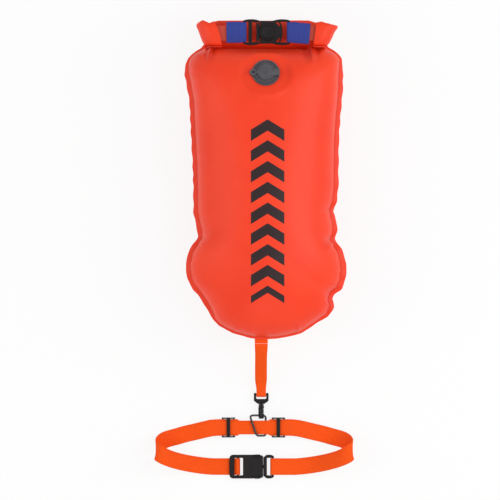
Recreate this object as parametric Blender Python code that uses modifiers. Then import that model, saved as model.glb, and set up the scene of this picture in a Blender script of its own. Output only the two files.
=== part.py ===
"""Open water swim buoy: an inflatable tow float with a dry bag inside, a roll-top mouth,
an air valve, a tow strap with a swivel snap hook, and a waist belt.

The float lies on its back. X runs across it, Y runs from the belt up to the roll-top and
Z points up, out of its printed front. The origin is on the flat patch that it lies on.
"""

import math

import bmesh
import bpy
from mathutils import Matrix, Vector

COLLECTION = "swim_buoy"

# Gaps and walls shared by all pieces
GAP = 0.0003
SLIP = 0.0004
OVERRUN = 0.002
TINY = 0.00002

# Float: outline, thickness and fabric
BAG_HALF_WIDTH = 0.1215
BAG_LENGTH = 0.4375
BAG_BOTTOM_Y = -0.2240
NECK_Y = BAG_BOTTOM_Y + BAG_LENGTH
FRONT_HEIGHT = 0.077
BACK_HEIGHT = 0.074
SEAM_Z = 0.066
PANEL_WALL = 0.0016
WELD_WIDTH = 0.0065
SPINE_LOW = 0.112
SPINE_HIGH = 0.0855
DOME_POWER = 2.1
DOME_TOP_POWER = 2.7
DOME_STEPS = 7
NECK_LIFT = 0.0012
NECK_DEPTH_Y = 0.0235
NECK_SIDE_X = 0.110
NECK_BLEND = 0.020
LINER_WALL = 0.0016
LINER_INSET = 0.016

# Float's outline from bottom centre to neck: share of half width left and right, share of length
BAG_OUTLINE_SHARES = [
    (0.000, 0.000, 0.0000), (0.135, 0.142, 0.0014), (0.212, 0.248, 0.0059), (0.389, 0.452, 0.0201),
    (0.480, 0.516, 0.0320), (0.565, 0.589, 0.0457), (0.627, 0.676, 0.0617), (0.665, 0.781, 0.0777),
    (0.732, 0.859, 0.1097), (0.768, 0.850, 0.1257), (0.802, 0.830, 0.1408), (0.835, 0.860, 0.1543),
    (0.889, 0.944, 0.1691), (0.961, 0.997, 0.2091), (0.978, 1.011, 0.2354), (0.979, 1.003, 0.2606),
    (0.937, 0.954, 0.3086), (0.881, 0.895, 0.3314), (0.847, 0.869, 0.3451), (0.830, 0.876, 0.3525),
    (0.842, 0.898, 0.3749), (0.867, 0.890, 0.4046), (0.889, 0.846, 0.4366), (0.889, 0.880, 0.4709),
    (0.890, 0.901, 0.5234), (0.914, 0.906, 0.6834), (0.937, 0.948, 0.8137), (0.969, 0.963, 0.8663),
    (0.998, 0.968, 0.9097), (0.984, 0.956, 0.9417), (0.947, 0.937, 0.9646), (0.900, 0.897, 0.9806),
    (0.853, 0.842, 0.9897), (0.790, 0.790, 0.9990), (0.600, 0.600, 1.0000), (0.400, 0.400, 1.0000),
    (0.200, 0.200, 1.0000), (0.000, 0.000, 1.0000),
]

# Roll-top mouth, folded forward at both ends
ROLL_HEIGHT = 0.040
ROLL_HALF_WIDTH = 0.106
ROLL_TAPER = 0.09
ROLL_BEND_RADIUS = 0.0152
ROLL_ARM_END = 0.072
ROLL_FABRIC = 0.0014
ROLL_HALF_THICKNESS = 0.0072
ROLL_PITCH = 0.0023
ROLL_TURNS = 2.0
ROLL_POINTS_PER_TURN = 14
ROLL_BEND_STEPS = 6
STRIP_WIDTH = 0.0225
STRIP_WALL = 0.0020
STRIP_END = 0.052

# Closure webbing and its round push-button buckle
CLOSURE_WEB_WIDTH = 0.0300
CLOSURE_WEB_WALL = 0.0018
TAB_SEWN_END = 0.058
TAB_RETURN = 0.012
CLOSURE_X = 0.0024
CLOSURE_RISE = 0.0015
CLOSURE_HALF_LENGTH = 0.0352
CLOSURE_RAIL = 0.0040
CLOSURE_RAIL_HEIGHT = 0.0052
CLOSURE_BAR_RADIUS = 0.0013
CLOSURE_EDGE = 0.0005
BAR_RADIUS = 0.0016
HOUSING_OFFSET_X = 0.0018
HOUSING_RADIUS = 0.0130
HOUSING_HEIGHT = 0.0090
HOUSING_ARM = 0.0052
BUTTON_RADIUS = 0.0099
BUTTON_CLEARANCE = 0.0003
BUTTON_HEIGHT = 0.0035
BUTTON_TRAVEL = 0.0015
BUTTON_PROUD = 0.0006
TONGUE_WIDTH = 0.0180
TONGUE_WALL = 0.0020

# Upper edges of the two closure frames, from the joint outward: share of half length, share of half height
SOCKET_EDGE_SHARES = [
    (-0.278, 0.49), (-0.278, 0.86), (-0.24, 0.89), (0.03, 0.87), (0.17, 0.86), (0.28, 0.89), (0.40, 0.95),
    (0.53, 0.99), (0.66, 1.00), (0.80, 0.985), (0.92, 0.95), (1.00, 0.89),
]
PLUG_EDGE_SHARES = [
    (-0.29, 0.47), (-0.29, 0.87), (-0.34, 0.92), (-0.45, 0.97), (-0.57, 1.00), (-0.72, 1.00), (-0.84, 0.98),
    (-0.93, 0.945), (-1.00, 0.89),
]
SOCKET_BAND_SHARES = [(0.575, 1.0), (0.63, 0.75), (0.66, 0.45), (0.675, 0.15)]
SOCKET_HOLE_SHARES = [(0.375, 0.95), (0.52, 0.95), (0.545, 0.80), (0.57, 0.50)]
PLUG_WINDOW_SHARES = [(-0.62, 0.99), (-0.455, 0.95), (-0.445, 0.60), (-0.44, 0.20)]
PLUG_HOLE_SHARES = [(-0.415, 0.97), (-0.335, 0.97), (-0.40, 0.78)]
LADDER_START_SHARE = -0.775

# Air valve
VALVE_X = 0.0011
VALVE_FROM_NECK = 0.0400
VALVE_TILT = math.radians(22.0)
VALVE_SINK = 0.0035
VALVE_SEAT_RADIUS = 0.031
VALVE_BLEND_RADIUS = 0.043
VALVE_EDGE_SHARE = 0.12
FLANGE_RADIUS = 0.0208
FLANGE_GROOVE_RADIUS = 0.0174
FLANGE_GROOVE_WIDTH = 0.0011
FLANGE_GROOVE_DEPTH = 0.0009
FLANGE_WALL = 0.0018
COLLAR_RADIUS = 0.0135
COLLAR_HEIGHT = 0.0036
BORE_RADIUS = 0.0086
NECK_RADIUS = 0.0112
NECK_DEPTH = 0.0080
PANEL_HOLE_RADIUS = 0.0117
FLAP_RADIUS = 0.0104
FLAP_WALL = 0.0008
CAP_RADIUS = 0.0122
CAP_WALL = 0.0018
CAP_DOME = 0.0010
PLUG_TOP_RADIUS = 0.0082
PLUG_END_RADIUS = 0.0072
PLUG_DEPTH = 0.0050
PULL_TAB_REACH = 0.0206
PULL_TAB_HALF_WIDTH = 0.0058
EAR_X = -0.0187
EAR_RADIUS = 0.0057
STUD_RADIUS = 0.0014
STUD_HEAD_RADIUS = 0.0021
STUD_HEAD_WALL = 0.0010
HINGE_X = -0.0145
HINGE_HALF_WIDTH = 0.0030

# Tow strap, from under the float's bottom weld to the hook's eye
TOW_X = -0.0056
TOW_WIDTH = 0.0195
TOW_END_WIDTH = 0.0144
TOW_WALL = 0.0015
TOW_ROOT_INSIDE = 0.0040
TOW_ROOT_OUTSIDE = 0.0060
TOW_STEPS = 14

# Swivel snap hook
EYE_WIRE_RADIUS = 0.0018
EYE_HALF_WIDTH = 0.0111
EYE_LENGTH = 0.0125
EYE_WINDOW = 0.0030
EYE_HORN = 0.0026
EYE_CORNER = 0.0012
EYE_LOOP_CLEARANCE = 0.0004
POST_RADIUS = 0.0017
POST_HEAD_RADIUS = 0.0025
POST_HEAD_LENGTH = 0.0012
BARREL_RADIUS = 0.0043
BARREL_LENGTH = 0.0062
HOOK_WIDTH = 0.0064
HOOK_WALL = 0.0022
HOOK_THROAT_LENGTH = 0.0135
HOOK_THROAT_HEIGHT = 0.0056
HOOK_WIRE_SEAT = 0.0029
HOOK_LIP = 0.0056
GATE_WALL = 0.0017
GATE_WIDTH = 0.0050
GATE_NUB = 0.0022

# Slanted ring on the belt
RING_WIRE_RADIUS = 0.0016
RING_HALF_HEIGHT = 0.0153
RING_DEPTH = 0.0200
RING_LEAN = 0.0052
RING_TILT = math.radians(20.0)
RING_HOOK_SHARE = 0.72
RING_CORNER = 0.0038
RING_CORNER_STEPS = 4
RING_REST = 0.0030
RING_SHIFT_Y = 0.0029

# Waist belt loop
BELT_WIDTH = 0.0250
BELT_WALL = 0.0015
BELT_X = -0.0161
BELT_Y = -0.3888
BELT_HALF_LENGTH = 0.1475
BELT_BACK_DEPTH = 0.0315
BELT_FRONT_DEPTH = 0.0275
BELT_FLAT_REACH = 0.0600
BELT_REACH_POWER = 4 / 3
BELT_DEPTH_POWER = 10 / 9
BELT_ARCH = 0.040
BELT_ARCH_END_SHARE = 0.92
BELT_DIP_START = 0.070
BELT_DIP_END = 0.106
BELT_DIP_Z = 0.0020
BELT_STEPS = 26
BELT_PINCH_X = -0.0168
BELT_PINCH_HALF = 0.0209
BELT_PINCH_BLEND = 0.0045
TAIL_GAP = 0.0003

# Belt sliders and tails
SLIDER_HALF_LENGTH = 0.0102
SLIDER_RAIL = 0.0019
SLIDER_CLEARANCE = 0.0006
SLIDER_BAR_RADIUS = 0.0012
SLIDER_BAR_WIDTH = 0.0054
SLIDER_LEFT_X = -0.0550
SLIDER_RIGHT_X = 0.0203
TAIL_LEFT_OUTER = 0.0300
TAIL_RIGHT_OUTER = 0.0235
TAIL_INNER = 0.0100

# Waist buckle
BUCKLE_X = -0.0200
BUCKLE_HALF_HEIGHT = 0.0179
BUCKLE_HEIGHT = 0.0104
SOCKET_REACH = 0.0336
SOCKET_OUTER_BAR = 0.0073
SOCKET_FRAME_HEIGHT = 0.0040
SOCKET_CORNER = 0.0055
SOCKET_BODY_START = -0.0131
SOCKET_MOUTH = 0.0172
SOCKET_MOUTH_CHAMFER = 0.0032
SOCKET_WALL = 0.0017
SOCKET_SIDE_WALL = 0.0022
BELT_SLOT_LENGTH = 0.0056
WINDOW_START = 0.0014
WINDOW_LENGTH = 0.0116
WINDOW_DEPTH = 0.0048
PLUG_SHOULDER = 0.0045
PLUG_REACH = 0.0337
PLUG_FRAME_HEIGHT = 0.0064
PLUG_NECK_SHARE = 0.77
PLUG_WINDOW_START = 0.0230
GUIDE_LENGTH = 0.0200
GUIDE_WIDTH = 0.0050
PRONG_LENGTH = 0.0150
PRONG_THICKNESS = 0.0030
PRONG_WIDTH = 0.0048
PRONG_ROOT_Y = 0.0092
PRONG_TIP_Y = 0.0138
PRONG_BARB = 0.0030
PRONG_BARB_LENGTH = 0.0105

# Upper edge of the plug's frame, from the shoulder outward: share of its length, share of half height
PLUG_FRAME_SHARES = [(0.00, 0.77), (0.10, 0.84), (0.26, 0.97), (0.40, 1.00), (0.62, 1.00), (0.80, 0.97),
                     (0.94, 0.90), (1.00, 0.83)]

# Finish of each material: colour in linear light, roughness, metallic
FINISHES = {
    "coated_fabric": ((0.88, 0.075, 0.026), 0.45, 0.0),
    "liner_fabric": ((0.45, 0.07, 0.04), 0.60, 0.0),
    "blue_webbing": ((0.045, 0.065, 0.33), 0.80, 0.0),
    "orange_webbing": ((1.0, 0.105, 0.010), 0.80, 0.0),
    "black_acetal": ((0.016, 0.016, 0.018), 0.40, 0.0),
    "grey_vinyl": ((0.105, 0.105, 0.120), 0.50, 0.0),
    "valve_rubber": ((0.05, 0.05, 0.05), 0.70, 0.0),
    "strip_plastic": ((0.60, 0.060, 0.030), 0.50, 0.0),
    "black_wire": ((0.015, 0.015, 0.016), 0.35, 0.0),
}


def clear_scene():
    for old in list(bpy.data.objects):
        bpy.data.objects.remove(old, do_unlink=True)


def named_collection(name):
    collection = bpy.data.collections.new(name)
    bpy.context.scene.collection.children.link(collection)
    return collection


clear_scene()
parts = named_collection(COLLECTION)
guides = named_collection(COLLECTION + "_cutters")


def make_material(name):
    color, roughness, metallic = FINISHES[name]
    material = bpy.data.materials.new(name)
    material.use_nodes = True
    shader = material.node_tree.nodes["Principled BSDF"]
    shader.inputs["Base Color"].default_value = (*color, 1.0)
    shader.inputs["Roughness"].default_value = roughness
    shader.inputs["Metallic"].default_value = metallic
    return material


materials = {name: make_material(name) for name in FINISHES}


def add_part(name, mesh, material):
    piece = bpy.data.objects.new(name, mesh)
    parts.objects.link(piece)
    piece.data.materials.append(materials[material])
    return piece


def add_cutter(name, mesh):
    cutter = bpy.data.objects.new(name, mesh)
    guides.objects.link(cutter)
    cutter.hide_render = True
    cutter.display_type = "WIRE"
    return cutter


def to_mesh(bm, name, recalculate=True):
    if recalculate:
        bmesh.ops.recalc_face_normals(bm, faces=bm.faces)
    mesh = bpy.data.meshes.new(name)
    bm.to_mesh(mesh)
    bm.free()
    return mesh


def box_mesh(name, low, high):
    """A box between two opposite corners."""
    low, high = Vector(low), Vector(high)
    bm = bmesh.new()
    bmesh.ops.create_cube(bm, size=1)
    bmesh.ops.scale(bm, vec=high - low, verts=bm.verts)
    bmesh.ops.translate(bm, vec=(low + high) / 2, verts=bm.verts)
    return to_mesh(bm, name)


def rod_mesh(name, radius, start, end, segments=12, end_radius=None):
    """A round bar or cone from start to end."""
    start, end = Vector(start), Vector(end)
    run = end - start
    bm = bmesh.new()
    turn = Vector((0, 0, 1)).rotation_difference(run).to_matrix().to_4x4()
    bmesh.ops.create_cone(
        bm, cap_ends=True, segments=segments, radius1=radius,
        radius2=radius if end_radius is None else end_radius, depth=run.length,
        matrix=Matrix.Translation((start + end) / 2) @ turn,
    )
    return to_mesh(bm, name)


def plate_mesh(name, outlines, thickness, chamfer=0.0):
    """A flat plate in XY with holes, centred on z = 0, its edges chamfered."""
    curve = bpy.data.curves.new(name, "CURVE")
    curve.dimensions = "2D"
    curve.fill_mode = "BOTH"
    curve.extrude = thickness / 2 - chamfer
    curve.bevel_depth = chamfer
    curve.offset = -chamfer
    curve.bevel_resolution = 0
    for outline in outlines:
        spline = curve.splines.new("POLY")
        spline.points.add(len(outline) - 1)
        for point, (x, y) in zip(spline.points, outline):
            point.co = (x, y, 0, 1)
        spline.use_cyclic_u = True
    return curve_to_mesh(name, curve)


def tube_mesh(name, points, radius, cyclic=False, resolution=2):
    """A round wire along the points."""
    curve = bpy.data.curves.new(name, "CURVE")
    curve.dimensions = "3D"
    curve.bevel_depth = radius
    curve.bevel_resolution = resolution
    curve.use_fill_caps = True
    spline = curve.splines.new("POLY")
    spline.points.add(len(points) - 1)
    for point, place in zip(spline.points, points):
        point.co = (*place, 1)
    spline.use_cyclic_u = cyclic
    return curve_to_mesh(name, curve)


def curve_to_mesh(name, curve):
    """Turn a curve into a closed mesh with its caps welded on."""
    holder = bpy.data.objects.new(name + "_curve", curve)
    guides.objects.link(holder)
    bpy.context.view_layer.update()
    evaluated = holder.evaluated_get(bpy.context.evaluated_depsgraph_get())
    mesh = bpy.data.meshes.new_from_object(evaluated)
    bpy.data.objects.remove(holder, do_unlink=True)
    bpy.data.curves.remove(curve)
    bm = bmesh.new()
    bm.from_mesh(mesh)
    bpy.data.meshes.remove(mesh)
    bmesh.ops.remove_doubles(bm, verts=bm.verts, dist=TINY)
    return to_mesh(bm, name)


def combine(piece, mesh, operation, matrix=None):
    """Join a mesh to a piece, or cut it away, by a Boolean modifier."""
    cutter = add_cutter(f"{piece.name}_{operation.lower()}_{len(piece.modifiers)}", mesh)
    if matrix is not None:
        cutter.data.transform(matrix)
    modifier = piece.modifiers.new(operation.title(), "BOOLEAN")
    modifier.operation = operation
    modifier.object = cutter
    return piece


def join(piece, mesh, matrix=None):
    return combine(piece, mesh, "UNION", matrix)


def cut(piece, mesh, matrix=None):
    return combine(piece, mesh, "DIFFERENCE", matrix)


def place(piece, matrix):
    """Set a piece and the meshes combined with it at their place."""
    piece.matrix_world = matrix
    for modifier in piece.modifiers:
        if modifier.type == "BOOLEAN":
            modifier.object.matrix_world = matrix
    return piece


def solidify(piece, thickness, offset=0.0):
    shell = piece.modifiers.new("Wall", "SOLIDIFY")
    shell.thickness = thickness
    shell.offset = offset
    shell.use_even_offset = True
    return piece


def smooth(piece, angle=math.radians(40.0)):
    piece.data.shade_smooth()
    piece.data.set_sharp_from_angle(angle=angle)
    return piece


def sheet_mesh(name, rows):
    """An open surface through rows of points; it faces along the cross of a row and the step to the next."""
    bm = bmesh.new()
    grid = [[bm.verts.new(point) for point in row] for row in rows]
    for low, high in zip(grid, grid[1:]):
        for a, b, c, d in zip(low, low[1:], high[1:], high):
            bm.faces.new((a, b, c, d))
    return to_mesh(bm, name, recalculate=False)


def webbing(name, centres, width, wall, material, across=Vector((0, 1, 0))):
    """A flat woven strap along its centre line, its width kept near the given direction."""
    widths = width if isinstance(width, list) else [width] * len(centres)
    rows = []
    for i, (centre, width) in enumerate(zip(centres, widths)):
        ahead = centres[min(i + 1, len(centres) - 1)]
        behind = centres[max(i - 1, 0)]
        run = (ahead - behind).normalized()
        side = (across - run * across.dot(run)).normalized()
        rows.append([centre - side * width / 2, centre + side * width / 2])
    return smooth(solidify(add_part(name, sheet_mesh(name, rows), material), wall))


def arc(center, radius, start, end, steps, height=None):
    """Points on an arc in a plane, or on an ellipse when a height is given."""
    height = radius if height is None else height
    turns = [start + (end - start) * i / steps for i in range(steps + 1)]
    return [(center[0] + radius * math.cos(t), center[1] + height * math.sin(t)) for t in turns]


def rounded_rectangle(low, high, radius, steps=3):
    x0, y0 = low
    x1, y1 = high
    quarter = math.pi / 2
    corners = [((x1 - radius, y1 - radius), 0), ((x0 + radius, y1 - radius), 1),
               ((x0 + radius, y0 + radius), 2), ((x1 - radius, y0 + radius), 3)]
    points = []
    for center, turn in corners:
        points += arc(center, radius, turn * quarter, (turn + 1) * quarter, steps)
    return points


def ease(share):
    share = min(max(share, 0), 1)
    return share * share * (3 - 2 * share)


# The float


def float_outline(side, inset=0.0):
    """One half of the seam line from bottom centre to neck centre, pulled in by an inset."""
    column = 1 if side > 0 else 0
    points = [Vector((side * BAG_HALF_WIDTH * row[column], BAG_BOTTOM_Y + BAG_LENGTH * row[2]))
              for row in BAG_OUTLINE_SHARES]
    pulled = []
    for i, point in enumerate(points):
        ahead = points[min(i + 1, len(points) - 1)]
        behind = points[max(i - 1, 0)]
        run = (ahead - behind).normalized()
        inward = Vector((-run.y, run.x)) * side
        if i in (0, len(points) - 1):
            inward.x = 0
        pulled.append(point + inward * inset)
    return pulled


def spine_y(y):
    """Where a seam point's rib meets the float's crest line."""
    share = (y - BAG_BOTTOM_Y) / BAG_LENGTH
    low = BAG_BOTTOM_Y + SPINE_LOW
    high = NECK_Y - SPINE_HIGH
    return low + (high - low) * share


def valve_frame():
    """Frame at the valve's seat: its Z is square to the seat plane."""
    foot = Vector((VALVE_X, VALVE_Y, front_height(VALVE_Y) - VALVE_SINK))
    return Matrix.Translation(foot) @ Matrix.Rotation(-VALVE_TILT, 4, "X")


VALVE_Y = NECK_Y - VALVE_FROM_NECK


def dome(share, y):
    """Height share of a rib, fuller toward the neck."""
    power = DOME_POWER + (DOME_TOP_POWER - DOME_POWER) * ease(y / (NECK_Y - NECK_DEPTH_Y))
    return max(1 - share ** power, 0) ** (1 / power)


def front_height(y):
    """Height of the front panel's crest line above the valve."""
    crest = NECK_Y - SPINE_HIGH
    over = (y - crest) / (NECK_Y - WELD_WIDTH - crest)
    return SEAM_Z + FRONT_HEIGHT * dome(over, NECK_Y)


def seat_height(x, y, z, share):
    """Height of the front panel with the flat seat of the valve pressed in."""
    away = math.hypot(x - VALVE_X, y - VALVE_Y)
    flat = front_height(VALVE_Y) - VALVE_SINK - math.tan(VALVE_TILT) * (y - VALVE_Y)
    press = 1 - ease((away - VALVE_SEAT_RADIUS) / (VALVE_BLEND_RADIUS - VALVE_SEAT_RADIUS))
    return z + (flat - z) * press * ease((1 - share) / VALVE_EDGE_SHARE)


def seam_lift(x, y):
    """Height of a panel's weld above the seam plane: the neck stands open for the liner."""
    high = 1 if y > NECK_Y - NECK_DEPTH_Y else 0
    return GAP / 2 + NECK_LIFT * high * ease((NECK_SIDE_X - x) / NECK_BLEND)


def panel_ribs(height, side, half):
    """Rows of one half of a panel: a flat weld, then ribs that rise to the crest line."""
    welded = float_outline(half)
    inner = float_outline(half, WELD_WIDTH)
    other = float_outline(-half)
    rows = []
    for outer, edge, facing in zip(welded, inner, other):
        lift = side * seam_lift(max(abs(outer.x), abs(facing.x)), outer.y)
        crest = Vector((0, spine_y(outer.y)))
        row = [(outer.x, outer.y, SEAM_Z + lift)]
        for step in range(DOME_STEPS + 1):
            share = math.cos(math.pi / 2 * step / DOME_STEPS)
            spot = crest + (edge - crest) * share
            z = SEAM_Z + lift + side * height * dome(share, outer.y)
            if side > 0:
                z = seat_height(spot.x, spot.y, z, share)
            row.append((spot.x, spot.y, max(z, PANEL_WALL)))
        rows.append(row)
    return rows


def panel(name, height, side):
    """A float panel: its right ribs from bottom to neck, then its left ribs from neck to bottom."""
    right = panel_ribs(height, side, 1)
    left = panel_ribs(height, side, -1)
    rows = right + left[-2::-1]
    if side > 0:
        rows.reverse()
    piece = add_part(name, sheet_mesh(name, rows), "coated_fabric")
    weld = piece.modifiers.new("Crest", "WELD")
    weld.merge_threshold = TINY * 2
    return piece


def front_panel():
    piece = panel("front_panel", FRONT_HEIGHT, 1)
    solidify(piece, PANEL_WALL, 1.0)
    hole = rod_mesh("valve_hole", PANEL_HOLE_RADIUS, (0, 0, -NECK_DEPTH), (0, 0, NECK_DEPTH), 24)
    cut(piece, hole, valve_frame())
    return smooth(piece)


def back_panel():
    piece = panel("back_panel", BACK_HEIGHT, -1)
    solidify(piece, PANEL_WALL, 1.0)
    return smooth(piece)


def dry_liner():
    """The empty dry bag: two flat walls in the middle of the float, out through the neck."""
    shoulder = NECK_Y - SPINE_HIGH + BAG_LENGTH / 8
    right = [point for point in float_outline(1, LINER_INSET) if point.y < shoulder]
    left = [point for point in float_outline(-1, LINER_INSET) if point.y < shoulder]
    mouth = BAG_HALF_WIDTH * BAG_OUTLINE_SHARES[-4][0] - LINER_INSET
    rim = [(mouth, NECK_Y - WELD_WIDTH * 2), (mouth, NECK_Y), (-mouth, NECK_Y), (-mouth, NECK_Y - WELD_WIDTH * 2)]
    full = [(p.x, p.y) for p in right] + rim + [(p.x, p.y) for p in reversed(left[1:])]
    mesh = plate_mesh("dry_liner", [full], LINER_WALL)
    mesh.transform(Matrix.Translation((0, 0, SEAM_Z)))
    return add_part("dry_liner", mesh, "liner_fabric")


# The roll-top


def roll_path(end_x):
    """Centre line of the folded roll in the XZ plane, from the left end to the right end."""
    bend_x = ROLL_HALF_WIDTH - ROLL_HALF_THICKNESS - ROLL_BEND_RADIUS
    half = [(share * bend_x / 2, 0.0) for share in range(2)]
    half += [(x, z + ROLL_BEND_RADIUS) for x, z in
             arc((bend_x, 0), ROLL_BEND_RADIUS, -math.pi / 2, math.pi / 2, ROLL_BEND_STEPS)]
    half.append((end_x, 2 * ROLL_BEND_RADIUS))
    right = [Vector((x, 0, SEAM_Z + z)) for x, z in half]
    left = [Vector((-p.x, 0, p.z)) for p in reversed(right[1:])]
    return left + right


def roll_normals(path):
    normals = []
    for i in range(len(path)):
        run = path[min(i + 1, len(path) - 1)] - path[max(i - 1, 0)]
        normals.append(Vector((-run.z, 0, run.x)).normalized())
    return normals


ROLL_MIDDLE_Y = NECK_Y + GAP + (ROLL_FABRIC + ROLL_HEIGHT) / 2


def roll_taper(y):
    """Width share of the roll at y: it narrows toward the float."""
    return 1 - ROLL_TAPER * (ROLL_MIDDLE_Y + ROLL_HEIGHT / 2 - y) / ROLL_HEIGHT


def rolled_mouth():
    """Mouth fabric rolled up in a flat spiral around the strip and folded forward at its ends."""
    path = roll_path(ROLL_ARM_END)
    normals = roll_normals(path)
    rows = []
    for k in range(int(ROLL_TURNS * ROLL_POINTS_PER_TURN) + 1):
        turn = 2 * math.pi * k / ROLL_POINTS_PER_TURN
        shrink = ROLL_PITCH * turn / (2 * math.pi)
        reach = ROLL_HEIGHT / 2 - shrink
        thick = ROLL_HALF_THICKNESS - shrink
        up = -math.cos(turn)
        out = math.sin(turn)
        y = ROLL_MIDDLE_Y + reach * math.copysign(abs(up) ** 0.8, up)
        n = thick * math.copysign(abs(out) ** 0.6, out)
        narrow = roll_taper(y)
        rows.append([(p.x * narrow + q.x * n, y, p.z + q.z * n) for p, q in zip(path, normals)])
    piece = add_part("rolled_mouth", sheet_mesh("rolled_mouth", rows), "coated_fabric")
    return smooth(solidify(piece, ROLL_FABRIC))


def mouth_strip():
    """Stiff strip sewn in the mouth's hem, at the heart of the roll."""
    edges = [ROLL_MIDDLE_Y - STRIP_WIDTH / 2, ROLL_MIDDLE_Y + STRIP_WIDTH / 2]
    rows = [[(p.x * roll_taper(y), y, p.z) for y in edges] for p in roll_path(STRIP_END)]
    return smooth(solidify(add_part("mouth_strip", sheet_mesh("mouth_strip", rows), "strip_plastic"), STRIP_WALL))


# The closure buckle

TAB_Z = SEAM_Z + 2 * ROLL_BEND_RADIUS + STRIP_WALL / 2 + GAP + CLOSURE_WEB_WALL / 2
CLOSURE_Y = ROLL_MIDDLE_Y + CLOSURE_RISE
CLOSURE_LOOP_RADIUS = CLOSURE_BAR_RADIUS + SLIP + CLOSURE_WEB_WALL / 2
CLOSURE_Z = TAB_Z - CLOSURE_LOOP_RADIUS
CLOSURE_BAR_X = CLOSURE_HALF_LENGTH - CLOSURE_BAR_RADIUS * 5 / 4
CLOSURE_INNER = CLOSURE_WEB_WIDTH / 2 + SLIP
CLOSURE_HALF_HEIGHT = CLOSURE_INNER + CLOSURE_RAIL


def closure_tab(name, side):
    """Webbing sewn on the strip's end and looped around the buckle's outer bar."""
    bar_x = CLOSURE_X + side * CLOSURE_BAR_X
    start = side * TAB_SEWN_END
    path = [(start, TAB_Z), ((start + bar_x) / 2, TAB_Z)]
    turn = [(bar_x - side * x, CLOSURE_Z + z) for x, z in
            arc((0, 0), CLOSURE_LOOP_RADIUS, math.pi / 2, -math.pi / 2, 6)]
    path += turn
    path.append((bar_x + side * TAB_RETURN, CLOSURE_Z - CLOSURE_LOOP_RADIUS))
    centres = [Vector((x, CLOSURE_Y, z)) for x, z in path]
    return webbing(name, centres, CLOSURE_WEB_WIDTH, CLOSURE_WEB_WALL, "blue_webbing")


def mirrored(half):
    """A closed outline from its upper half, listed from the left end to the right or back."""
    return half + [(x, -y) for x, y in reversed(half)]


def closure_points(shares, height):
    return [(x * CLOSURE_HALF_LENGTH, y * height) for x, y in shares]


def closure_bar(x):
    reach = CLOSURE_INNER + CLOSURE_RAIL / 3
    return rod_mesh("bar", CLOSURE_BAR_RADIUS, (x, -reach, 0), (x, reach, 0), 10)


def closure_matrix():
    return Matrix.Translation((CLOSURE_X, CLOSURE_Y, CLOSURE_Z))


HOUSING_FLOOR_Z = -HOUSING_HEIGHT / 2
SLOT_HEIGHT = TONGUE_WALL + 2 * GAP
SLOT_LOW_Z = HOUSING_FLOOR_Z + HOUSING_HEIGHT / 8
TONGUE_Z = SLOT_LOW_Z + SLOT_HEIGHT / 2
BUTTON_TOP_Z = HOUSING_HEIGHT / 2 + BUTTON_PROUD
BUTTON_LOW_Z = BUTTON_TOP_Z - BUTTON_HEIGHT
POCKET_LOW_Z = BUTTON_LOW_Z - BUTTON_TRAVEL - GAP


def closure_socket():
    """Curved frame for the webbing, with the round housing of the button and the tongue's slot."""
    band = closure_points(SOCKET_BAND_SHARES, CLOSURE_INNER)
    edge = closure_points(SOCKET_EDGE_SHARES, CLOSURE_HALF_HEIGHT)
    upper = [(HOUSING_OFFSET_X - HOUSING_ARM, edge[0][1])] + edge + [(CLOSURE_HALF_LENGTH, CLOSURE_INNER)] + band
    hole = closure_points(SOCKET_HOLE_SHARES, CLOSURE_INNER)
    holes = [hole, [(x, -y) for x, y in hole]]
    frame = plate_mesh("closure_socket", [mirrored(upper)] + holes, CLOSURE_RAIL_HEIGHT, CLOSURE_EDGE)
    piece = add_part("closure_socket", frame, "black_acetal")
    disc = plate_mesh("housing", [arc((HOUSING_OFFSET_X, 0), HOUSING_RADIUS, 0, 2 * math.pi, 32)[:-1]],
                      HOUSING_HEIGHT, CLOSURE_EDGE * 2)
    join(piece, disc)
    join(piece, closure_bar(CLOSURE_BAR_X))
    cut(piece, rod_mesh("pocket", BUTTON_RADIUS + BUTTON_CLEARANCE, (HOUSING_OFFSET_X, 0, POCKET_LOW_Z),
                        (HOUSING_OFFSET_X, 0, HOUSING_HEIGHT), 27))
    slot = TONGUE_WIDTH / 2 + GAP
    cut(piece, box_mesh("slot", (HOUSING_OFFSET_X - HOUSING_RADIUS - OVERRUN, -slot, SLOT_LOW_Z),
                        (HOUSING_OFFSET_X + HOUSING_ARM, slot, SLOT_LOW_Z + SLOT_HEIGHT)))
    return smooth(place(piece, closure_matrix()))


def closure_plug():
    """Curved ladder frame for the webbing, with the flat tongue that latches in the housing."""
    edge = closure_points(PLUG_EDGE_SHARES, CLOSURE_HALF_HEIGHT)
    near = HOUSING_RADIUS + SLIP
    reach = edge[0][1]
    seat = math.asin(min(reach / near, 1) * 5 / 6)
    joint = arc((HOUSING_OFFSET_X, 0), near, math.pi + seat / 6, math.pi - seat, 4)
    ladder = LADDER_START_SHARE * CLOSURE_HALF_LENGTH
    upper = joint[1:] + edge + [(-CLOSURE_HALF_LENGTH, CLOSURE_INNER), (ladder, CLOSURE_INNER)]
    window = mirrored(closure_points(PLUG_WINDOW_SHARES, CLOSURE_INNER))
    hole = closure_points(PLUG_HOLE_SHARES, CLOSURE_INNER)
    outlines = [mirrored(upper), window, hole, [(x, -y) for x, y in hole]]
    frame = plate_mesh("closure_plug", outlines, CLOSURE_RAIL_HEIGHT, CLOSURE_EDGE)
    piece = add_part("closure_plug", frame, "black_acetal")
    root = HOUSING_OFFSET_X - near - CLOSURE_RAIL / 2
    join(piece, box_mesh("tongue", (root, -TONGUE_WIDTH / 2, TONGUE_Z - TONGUE_WALL / 2),
                         (HOUSING_OFFSET_X, TONGUE_WIDTH / 2, TONGUE_Z + TONGUE_WALL / 2)))
    join(piece, closure_bar(-CLOSURE_BAR_X))
    return smooth(place(piece, closure_matrix()))


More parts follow.
